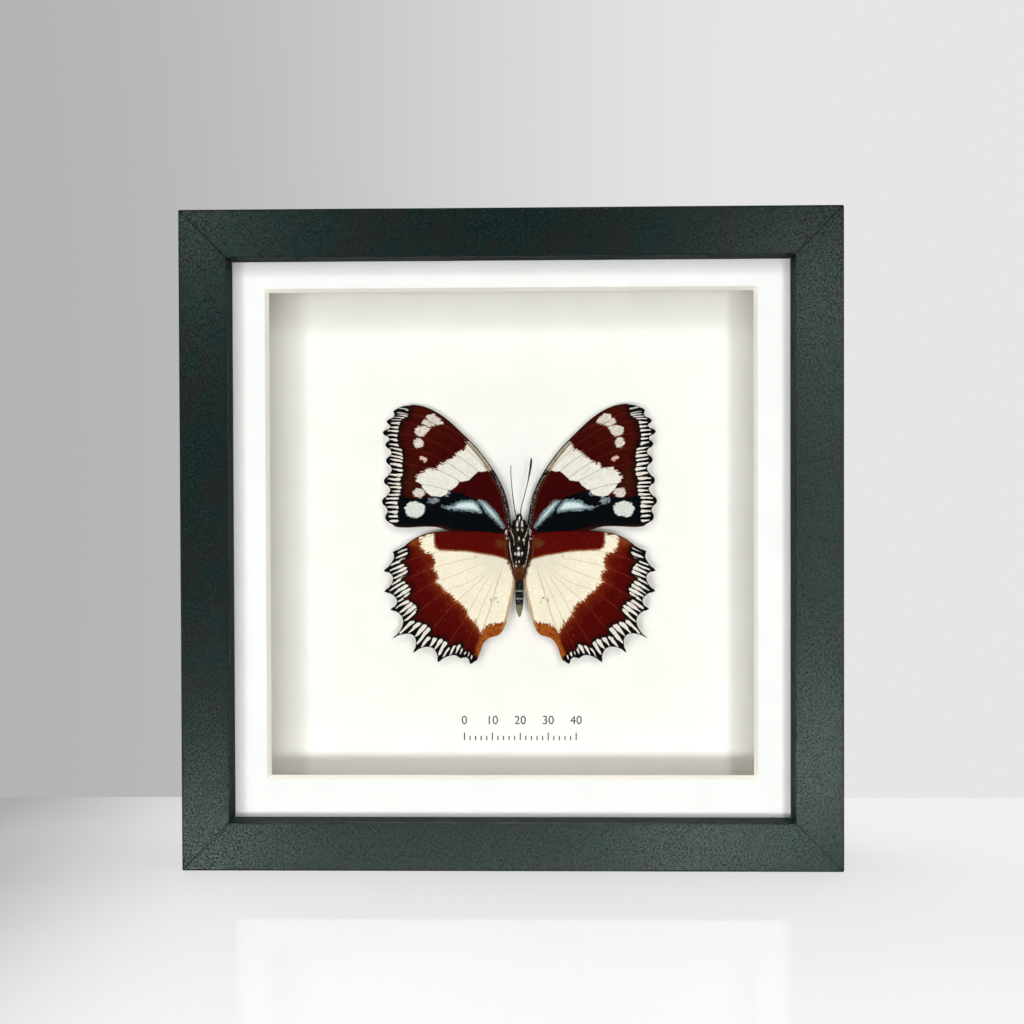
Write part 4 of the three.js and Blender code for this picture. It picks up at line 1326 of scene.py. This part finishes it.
def chitin(name, dark, light, streak=(1, 1, 3), gloss=0.22, brown="#3A1E0C"):
    """Dried chitin under thin scales: dark, glossy where it is bare, with paler streaks and white marks."""
    material, tree, shader = new_material(name)
    streaks = object_noise(tree, 0.55, 3.0, 0.6, streak)
    patches = object_noise(tree, 1.6, 2.0)
    broken = object_noise(tree, 0.45, 2.0, 0.6, streak)
    frayed = node(
        tree, "ShaderNodeMath", {0: broken, 1: 2.4, 2: "@white"}, operation="MULTIPLY_ADD",
    ).outputs[0]
    colour = paint(tree, dark, [
        ((patches, 0.5, 0.62, 0.0, 0.75), brown),
        ((streaks, 0.63, 0.7, 0.0, 0.85), light),
        (times(tree, (frayed, 1.65, 1.85), ("@white", 0.05, 0.3)), "#F1EEE6"),
    ])
    finish(tree, shader, colour, (streaks, 0.4, 0.6, 0.25, 0.6, "LINEAR"), gloss, streaks, 0.06)
    return material


def abdomen_scales():
    """Scaled abdomen: brown at the waist, black with grey-white rings, olive grey towards the tip."""
    material, tree, shader = new_material("abdomen_scales")
    place = node(tree, "ShaderNodeTexCoord").outputs["Object"]
    above = node(tree, "ShaderNodeSeparateXYZ", {0: place}).outputs["Z"]
    height = node(
        tree, "ShaderNodeMath", {0: above, 1: 1 / MM, 2: -ROOT_Z}, operation="MULTIPLY_ADD",
    ).outputs[0]
    grain = object_noise(tree, 0.35, 3.0, 0.65, (1, 1, 1.6))
    shaken = node(
        tree, "ShaderNodeMath", {0: (grain, 0.3, 0.7, -0.35, 0.35, "LINEAR"), 1: height}, operation="ADD",
    ).outputs[0]
    layers = [
        ((shaken, -18.0, -16.6), "#4A220E"),
        (times(tree, (shaken, -17.0, -18.0), (grain, 0.58, 0.66)), "#8E8C82"),
        ((shaken, -25.6, -26.8), "#7C7C62"),
        ((grain, 0.6, 0.72, 0.0, 0.5), "#3A372E"),
    ]
    for ring in (-21.2, -23.9):
        band = times(tree, (shaken, ring - 0.3, ring - 0.08), (shaken, ring + 0.02, ring + 0.22, 1.0, 0.0))
        layers.append((band, "#B9B8B0"))
    colour = paint(tree, "#070605", layers)
    finish(tree, shader, colour, (grain, 0.3, 0.7, 0.4, 0.7, "LINEAR"), 0.15, grain, 0.05)
    return material


def whiteness(points):
    """How white each point is: 1 in the middle of a mark, and 0 half as far out again."""
    points = np.asarray(points)
    white = np.zeros(len(points))
    for x, z, half_width, half_height, strength in WHITE_MARKS:
        gap = np.hypot((points[:, 0] - x) / half_width, (points[:, 2] - z) / half_height)
        white = np.maximum(white, np.clip(1.5 - gap, 0, 1) * strength)
    return white


def mark_white(piece, points):
    """Writes the whiteness of the piece's points where its materials read it."""
    write_field(piece, "white", whiteness(points))


def thorax_swell(angle, z):
    """Leg bases and hollows of the thorax's underside."""
    ridge = 0.06 * math.cos(2 * angle) * math.exp(-((z + 6) / 6) ** 2)
    lumps = 0.10 * noise.noise(Vector((math.sin(angle) * 1.6, math.cos(angle) * 1.6, z * 0.55)))
    return min(ridge + lumps, 0.02)


def abdomen_swell(angle, z):
    """Each segment swells and then steps in under the next one's edge."""
    edges = sorted(ABDOMEN_RINGS)
    below = max([e for e in edges if e <= z], default=-30.6)
    above = min([e for e in edges if e > z], default=-14.9)
    share = (z - below) / (above - below)
    return 0.05 * math.sin(math.pi * share ** 0.6) - 0.06


def place_body(points, y):
    """From the body's own axis into the frame."""
    return np.asarray(points, float) + (ROOT_X, y, ROOT_Z)


def ball(x, y, z, rx, ry, rz, rows=18, sides=28):
    """An egg-shaped closed surface."""
    profile = [(rx * math.sin(a), -rz * math.cos(a)) for a in np.linspace(0, math.pi, rows + 2)]
    angles = np.linspace(0, 2 * np.pi, sides, endpoint=False)
    rings = [
        [(x + r * math.sin(a), y - r * ry / rx * math.cos(a), z + h) for a in angles]
        for r, h in profile[1:-1]
    ]
    return closed_rows((x, y, z - rz), rings, (x, y, z + rz))


def merged(shells):
    """Several shells as one list of points and faces."""
    points, faces = [], []
    for shell_points, shell_faces in shells:
        start = sum(len(p) for p in points)
        points.append(shell_points)
        faces += [tuple(i + start for i in f) for f in shell_faces]
    return np.vstack(points), faces


class SPECIMEN_OT_body(bpy.types.Operator):
    """Build the head, the thorax and the abdomen"""

    bl_idname = "specimen.body"
    bl_label = "Body"

    def execute(self, context):
        skin = chitin("thorax_chitin", "#0A0705", "#A39A8E")
        points, faces = turned_surface(THORAX_PROFILE, 130, 96, thorax_swell)
        thorax = add_mesh("thorax_skin", place_body(points, BODY_Y), faces, [skin])
        mark_white(thorax, points)
        keep(thorax, "body", "thorax")
        points, faces = turned_surface(ABDOMEN_PROFILE, 160, 48, abdomen_swell)
        abdomen = add_mesh("abdomen_skin", place_body(points, ABDOMEN_Y), faces, [abdomen_scales()])
        keep(abdomen, "body", "abdomen")
        self.head(skin)
        return {"FINISHED"}

    def head(self, skin):
        """A skull, a neck, two eyes and two palps round a pale core grown together, and then picked out."""
        shells = [
            ball(0, 0, 2.45, 1.45, 1.4, 1.45), ball(0, 0.2, 1.2, 2.9, 1.8, 1.6),
            ball(0.1, -0.5, 4.3, 0.5, 0.5, 1.2),
        ]
        for x, y, z in EYES:
            shells.append(ball(x, y, z, 1.0, 0.95, 1.05))
        for side in (-1, 1):
            shells.append(tube(
                [
                    (side * 0.85, -0.6, 2.6), (side * 0.85, -0.85, 3.8),
                    (side * 0.62, -0.9, 5.0), (side * 0.2, -0.8, 5.9),
                ],
                (0.4, 0.42, 0.38, 0.2),
            ))
        points, faces = merged(shells)
        eye = chitin("compound_eye", "#0B0705", "#241810", (1, 1, 1), 0.35, "#140C08")
        palp = chitin("palp_scales", "#080706", "#2C2A27", (1, 1, 4), 0.1, "#140D0A")
        head = add_mesh("head_skin", place_body(points, BODY_Y), faces, [skin, eye, palp])
        grow = head.modifiers.new("grown", "REMESH")
        grow.mode = "VOXEL"
        grow.voxel_size = 0.085 * MM
        relax = head.modifiers.new("relaxed", "SMOOTH")
        relax.factor, relax.iterations = 0.5, 4
        baked(head)
        head.data.materials.clear()
        for material in (skin, eye, palp):
            head.data.materials.append(material)
        centres = np.zeros(len(head.data.polygons) * 3)
        head.data.polygons.foreach_get("center", centres)
        centres = centres.reshape(-1, 3) / MM - (ROOT_X, BODY_Y, ROOT_Z)
        eye_gap = np.min([np.linalg.norm(centres - np.array(e), axis=1) for e in EYES], axis=0)
        scaled = (centres[:, 2] > 3.4) | (np.abs(centres[:, 0]) > 1.4)
        index = np.where(eye_gap < 1.02, 1, np.where(scaled, 2, 0))
        head.data.polygons.foreach_set("material_index", index.astype(np.int32))
        head.data.polygons.foreach_set("use_smooth", np.ones(len(index), bool))
        places = np.zeros(len(head.data.vertices) * 3)
        head.data.vertices.foreach_get("co", places)
        mark_white(head, places.reshape(-1, 3) / MM - (ROOT_X, BODY_Y, ROOT_Z))
        keep(head, "body", "head")


ANTENNA_RIGHT = (
    (0.55, 0.5, 4.2), (0.6, 0.4, 7.4), (1.7, 0.1, 11.6), (3.2, -0.3, 17.6), (4.1, -0.7, 22.6),
    (4.3, -0.9, 25.2),
)
ANTENNA_LEFT = ((-0.9, 0.5, 4.2), (-1.6, 0.4, 7.4), (-2.4, 0, 13.4), (-2.9, -0.4, 19.4), (-2.8, -0.6, 22.9))


class SPECIMEN_OT_antennae(bpy.types.Operator):
    """Build the two antennae; only the right one still has its club"""

    bl_idname = "specimen.antennae"
    bl_label = "Antennae"

    def execute(self, context):
        horn = chitin("antenna_horn", "#3A352F", "#6F685E", (1, 1, 1))
        dark = chitin("antenna_club", "#15110E", "#2E2822", (1, 1, 1))
        points, faces = tube(ANTENNA_RIGHT, (0.19, 0.17, 0.16, 0.16, 0.17, 0.36, 0.4, 0.26), 10, 14)
        right = add_mesh("antenna_right_rod", place_body(points, BODY_Y), faces, [horn, dark])
        club_z = (ROOT_Z + 21.8) * MM
        faces = right.data.polygons
        faces.foreach_set("material_index", [int(face.center.z > club_z) for face in faces])
        keep(right, "body", "antenna_right")
        points, faces = tube(ANTENNA_LEFT, (0.19, 0.17, 0.16, 0.15, 0.12), 10, 14)
        keep(add_mesh("antenna_left_rod", place_body(points, BODY_Y), faces, [horn]), "body", "antenna_left")
        return {"FINISHED"}


# Legs lie against the thorax: height and degrees round from the middle of its underside
HIND_LEG = ((-3.6, 62), (-5.5, 64), (-8, 62), (-10.5, 58), (-12.8, 50))
MIDDLE_LEG = ((-0.2, 64), (-1.2, 44), (-2.4, 33), (-3.8, 28), (-5.2, 28))


def leg_route(stations, sign, lift):
    """The leg's line, at lift outside the thorax."""
    radii, heights = zip(*THORAX_PROFILE)
    route = []
    for z, degrees in stations:
        reach = np.interp(z, heights, radii) + lift
        angle = math.radians(degrees)
        route.append((sign * reach * math.sin(angle), -reach * math.cos(angle), z))
    return route


class SPECIMEN_OT_legs(bpy.types.Operator):
    """Build the four folded legs"""

    bl_idname = "specimen.legs"
    bl_label = "Legs"

    def execute(self, context):
        pale = chitin("leg_scales", "#D8CCC0", "#F6F0E8", (1, 1, 3), 0.3)
        for side, sign in (("right", 1), ("left", -1)):
            for kind, stations, radii in (
                ("hind_leg", HIND_LEG, (0.12, 0.18, 0.2, 0.17, 0.15, 0.14, 0.15, 0.1)),
                ("middle_leg", MIDDLE_LEG, (0.11, 0.18, 0.2, 0.17, 0.15, 0.14, 0.14, 0.1)),
            ):
                points, faces = tube(leg_route(stations, sign, 0.55), radii, 12, 10)
                leg = add_mesh(f"{kind}_{side}_limb", place_body(points, BODY_Y), faces, [pale])
                keep(leg, "legs", f"{kind}_{side}")
        return {"FINISHED"}


def hair_tree():
    """Scatters pointed blades over a surface, leaning back along the body, by the surface's own density."""
    tree, start, end = group_tree("scattered_hair", {
        "Density": ("NodeSocketFloat", 1.0), "Length": ("NodeSocketFloat", 0.7 * MM),
        "Radius": ("NodeSocketFloat", 0.07 * MM), "Lean": ("NodeSocketFloat", 1.5),
        "Seed": ("NodeSocketInt", 1), "Material": ("NodeSocketMaterial", None),
    })
    carried = node(tree, "GeometryNodeInputNamedAttribute", {"Name": "density"}, data_type="FLOAT")
    density = times(tree, carried.outputs["Attribute"], start.outputs["Density"])
    spread = node(tree, "GeometryNodeDistributePointsOnFaces", {
        "Mesh": start.outputs["Geometry"], "Density": density, "Seed": start.outputs["Seed"],
    }, distribute_method="RANDOM")
    blade = node(tree, "GeometryNodeMeshCone", {
        "Vertices": 4, "Radius Top": 0.0,
        "Radius Bottom": start.outputs["Radius"], "Depth": start.outputs["Length"],
    })
    lean = node(tree, "ShaderNodeCombineXYZ", {
        "Z": times(tree, start.outputs["Lean"], -1.0),
    }).outputs[0]
    jitter = node(tree, "FunctionNodeRandomValue", {
        0: (-0.35, -0.35, -0.35), 1: (0.35, 0.35, 0.35), "Seed": start.outputs["Seed"],
    }, data_type="FLOAT_VECTOR").outputs[0]
    leaning = node(
        tree, "ShaderNodeVectorMath", {0: spread.outputs["Normal"], 1: lean}, operation="ADD",
    ).outputs[0]
    shaken = node(tree, "ShaderNodeVectorMath", {0: leaning, 1: jitter}, operation="ADD").outputs[0]
    turn = node(tree, "FunctionNodeAlignRotationToVector", {"Vector": shaken}, axis="Z").outputs[0]
    size = node(
        tree, "FunctionNodeRandomValue", {2: 0.55, 3: 1.15, "Seed": start.outputs["Seed"]}, data_type="FLOAT",
    )
    placed = node(tree, "GeometryNodeInstanceOnPoints", {
        "Points": spread.outputs["Points"], "Instance": blade.outputs["Mesh"], "Rotation": turn,
        "Scale": size.outputs[1],
    })
    return hand_on(tree, start, end, placed)


def hair_material(name, dark, pale):
    """Hair-like scales: dry, matt blades whose tone changes from one to the next."""
    material, tree, shader = new_material(name)
    tone = object_noise(tree, 0.25, 2.0, 0.7)
    finish(tree, shader, paint(tree, dark, [((tone, 0.42, 0.6), pale)]), 0.7)
    return material


class SPECIMEN_OT_hair(bpy.types.Operator):
    """Cover the thorax with dark hair and white tufts"""

    bl_idname = "specimen.hair"
    bl_label = "Hair and tufts"

    def execute(self, context):
        settings = context.scene.insect
        tree = hair_tree()
        points, faces = turned_surface(THORAX_PROFILE, 90, 64, thorax_swell)
        extra = ball(0, 0, 2.0, 1.9, 1.7, 1.9)
        waist_ball = ball(0, ABDOMEN_Y - BODY_Y + 0.2, -15.4, 2.0, 1.2, 1.9)
        roots = [ball(side * 4.1, 1.2, z, 0.75, 0.8, 0.9, 10, 16) for side in (-1, 1) for z in (-0.6, -2.9)]
        ground, ground_faces = merged([(points, faces), extra, waist_ball] + roots)
        front = np.clip(-ground[:, 1] / 1.2, 0.15, 1)
        white = whiteness(ground)
        on_root = np.abs(ground[:, 0]) > 3.3
        waist = np.clip((-11.6 - ground[:, 2]) / 1.5, 0, 1) * (1 - white)
        dark = np.clip(1 - white * 1.4, 0, 1) * (1 - waist) * front * ~on_root
        for name, density, weight, deep, pale in (
            ("thorax_hair", 10.0, dark, "#070403", "#24160F"),
            ("waist_hair", 30.0, waist, "#4A220E", "#94582A"),
            ("white_tufts", 26.0, white * np.where(on_root, 1, front), "#DDD9D0", "#FBF9F4"),
        ):
            coat = add_mesh(name, place_body(ground, BODY_Y), ground_faces, [])
            write_field(coat, "density", weight)
            run_tree(coat, tree, {
                "Density": density / MM ** 2, "Length": settings.hair_length * MM, "Seed": settings.seed,
                "Material": hair_material(name + "_scales", deep, pale),
            })
            keep(coat, "body")
        return {"FINISHED"}


# ------------------------------------------------------------------ stage
FLOOR_SIZE = 2400.0
FLOOR_THICK = 20.0
FLOOR_LIT = 0.58  # share of the floor's colour that takes the lamps' light
FLOOR_GLOW = 1.42  # and how strongly the colour shines by itself
LAMP_AWAY = 2.0  # metres in front of the butterfly
# Soft lamps round the camera: left, right, low and high side as slopes from the middle of the window, and share
# of the light. They are too broad to show as highlights.
LAMPS = {
    "left": (-0.46, -0.28, -0.15, 0.5, 0.118),
    "right": (0.19, 0.32, -0.15, 0.5, 0.195),
    "top": (-0.4, 0.28, 0.36, 0.56, 0.108),
    "low": (-0.45, 0.315, -0.2, -0.08, 0.48),
}
# Cards that only gloss picks up, in the same terms. They stand where the rails mirror them and the pane doesn't.
CARD_COLOUR = (0.80, 1.0, 0.93)  # they give the lacquer its green-grey sheen
CARDS = {
    "top_left": (-0.37, -0.30, 0.24, 0.31, 0.0125),
    "top_right": (0.238, 0.29, 0.15, 0.23, 0.0135),
    "right": (0.29, 0.33, -0.15, 0.15, 0.016),
    "low_right": (0.238, 0.285, -0.27, -0.19, 0.021),
    "below_right": (0.1, 0.19, -0.355, -0.295, 0.02),
    "below": (-0.2, 0.05, -0.42, -0.36, 0.022),
    "low_left": (-0.34, -0.282, -0.355, -0.295, 0.023),
}


class SPECIMEN_OT_stage(bpy.types.Operator):
    """Set up the floor, the lamps, the sky and the camera"""

    bl_idname = "specimen.stage"
    bl_label = "Stage"

    def execute(self, context):
        settings = context.scene.stage
        self.floor(FRONT_Y + settings.floor_edge / MM)
        for name, sides in LAMPS.items():
            lamp = self.lamp(context, settings, f"{name}_lamp", *sides)
            lamp.visible_glossy = lamp.visible_transmission = False
        for name, sides in CARDS.items():
            card = self.lamp(context, settings, f"{name}_card", *sides)
            card.visible_diffuse = card.visible_transmission = False
            card.data.color = CARD_COLOUR
        above = Vector((0, 0.3, 1.9))
        self.area(context, "overhead_lamp", above, Vector((0, 0, 0)), (1.4, 1.4), settings.overhead)
        self.sky(context)
        self.camera(context, settings)
        return {"FINISHED"}

    def floor(self, back_y):
        material, tree, shader = new_material("white_laminate")
        # Polished white laminate, with a faint mirror image of what stands on it. Its colour is greyer to the left,
        # which is painted shade.
        # Most of its brightness is its own, so that shadows on it stay faint.
        place = node(tree, "ShaderNodeTexCoord").outputs["Object"]
        across = node(tree, "ShaderNodeSeparateXYZ", {0: place}).outputs["X"]
        cloud = object_noise(tree, 160.0, 2.0)
        pale = paint(tree, "#707070", [
            ((across, -0.22, -0.08), "#B1B1B1"),
            ((across, -0.05, 0.2), "#B2B2B2"),
            ((cloud, 0.3, 0.7, 0.0, 0.3), "#A6A7A7"),
        ])
        finish(tree, shader, paint(tree, pale, [(1 - FLOOR_LIT, "#000000")]), 0.05, 0.07)
        feed(tree, shader, {"Emission Color": pale, "Emission Strength": FLOOR_GLOW})
        half = FLOOR_SIZE / 2
        corners = [(-half, back_y - FLOOR_SIZE), (half, back_y - FLOOR_SIZE), (half, back_y), (-half, back_y)]
        points = [(x, y, z) for z in (-FLOOR_THICK, 0) for x, y in corners]
        faces = [(0, 3, 2, 1), (4, 5, 6, 7)] + [(i, (i + 1) % 4, (i + 1) % 4 + 4, i + 4) for i in range(4)]
        floor = add_mesh("floor", points, faces, [material], smooth=False)
        # Only the camera sees the floor: the pane would mirror its front edge as a line across the butterfly.
        for ray in ("shadow", "diffuse", "glossy", "transmission"):
            setattr(floor, "visible_" + ray, False)

    def lamp(self, context, settings, name, left, right, low, high, share):
        """A lamp between four slopes, with its share of the light that reaches the butterfly."""
        middle = Vector((0, 0, WINDOW_Z)) * MM
        away = Vector(((left + right) / 2, -1, (low + high) / 2)) * LAMP_AWAY
        size = ((right - left) * LAMP_AWAY, (high - low) * LAMP_AWAY)
        return self.area(
            context, name, middle + away, middle, size, settings.key * share * away.length ** 3 / LAMP_AWAY,
        )

    def area(self, context, name, place, target, size, power):
        light = bpy.data.lights.new(name, "AREA")
        light.shape = "RECTANGLE"
        light.size, light.size_y = size
        light.energy = power
        holder = bpy.data.objects.new(name, light)
        holder.location = place
        holder.rotation_euler = (target - place).to_track_quat("-Z", "Y").to_euler()
        context.scene.collection.objects.link(holder)
        return holder

    def sky(self, context):
        world = bpy.data.worlds.new("pale_studio")
        world.use_nodes = True
        tree = world.node_tree
        tree.nodes.clear()
        # Seen behind the frame, a pale wall that grows lighter to the right. It gives only a little light.
        side = node(tree, "ShaderNodeSeparateXYZ", {0: node(tree, "ShaderNodeTexCoord").outputs["Generated"]})
        pale = paint(tree, "#B4B4B4", [((side.outputs["X"], -0.36, 0.2), "#E6E6E6")])
        seen = node(tree, "ShaderNodeBackground", {"Color": pale, "Strength": 1.0})
        given = node(tree, "ShaderNodeBackground", {"Color": "#FFFFFF", "Strength": 0.02})
        rays = node(tree, "ShaderNodeLightPath")
        mixed = node(tree, "ShaderNodeMixShader", {
            0: rays.outputs["Is Camera Ray"], 1: given.outputs[0], 2: seen.outputs[0],
        })
        node(tree, "ShaderNodeOutputWorld", {"Surface": mixed.outputs[0]})
        context.scene.world = world
        context.scene.view_settings.view_transform = "Standard"

    def camera(self, context, settings):
        data = bpy.data.cameras.new("camera")
        data.lens = settings.focal
        data.sensor_width = 36.0
        turn, tilt, roll = settings.turn
        holder = bpy.data.objects.new("camera", data)
        holder.matrix_world = (
            Matrix.Translation(settings.eye) @ Matrix.Rotation(turn, 4, "Z") @ Matrix.Rotation(tilt, 4, "X")
            @ Matrix.Rotation(roll, 4, "Y") @ Matrix.Rotation(math.pi / 2, 4, "X")
        )
        context.scene.collection.objects.link(holder)
        context.scene.camera = holder


# ------------------------------------------------------------------ panel and registration
OPERATORS = (
    SPECIMEN_OT_stage, SPECIMEN_OT_moulding, SPECIMEN_OT_boards, SPECIMEN_OT_mat, SPECIMEN_OT_fittings,
    SPECIMEN_OT_scale, SPECIMEN_OT_forewings, SPECIMEN_OT_hindwings, SPECIMEN_OT_body, SPECIMEN_OT_antennae,
    SPECIMEN_OT_legs, SPECIMEN_OT_hair,
)


class SPECIMEN_PT_panel(bpy.types.Panel):
    """Lists the settings and the pieces"""

    bl_idname = "SPECIMEN_PT_panel"
    bl_label = "Framed butterfly"
    bl_space_type = "VIEW_3D"
    bl_region_type = "UI"
    bl_category = "Specimen"

    def draw(self, context):
        for label, group in SETTINGS.items():
            column = self.layout.column(heading=label)
            for prop in group.__annotations__:
                column.prop(getattr(context.scene, label), prop)
        for operator in OPERATORS:
            self.layout.operator(operator.bl_idname)


CLASSES = tuple(SETTINGS.values()) + OPERATORS + (SPECIMEN_PT_panel,)


def register():
    for cls in CLASSES:
        bpy.utils.register_class(cls)
    for label, group in SETTINGS.items():
        setattr(bpy.types.Scene, label, PointerProperty(type=group))


def unregister():
    for label in SETTINGS:
        delattr(bpy.types.Scene, label)
    for cls in reversed(CLASSES):
        bpy.utils.unregister_class(cls)


def main():
    register()
    for operator in OPERATORS:
        category, name = operator.bl_idname.split(".")
        getattr(getattr(bpy.ops, category), name)()


if __name__ == "__main__":
    main()
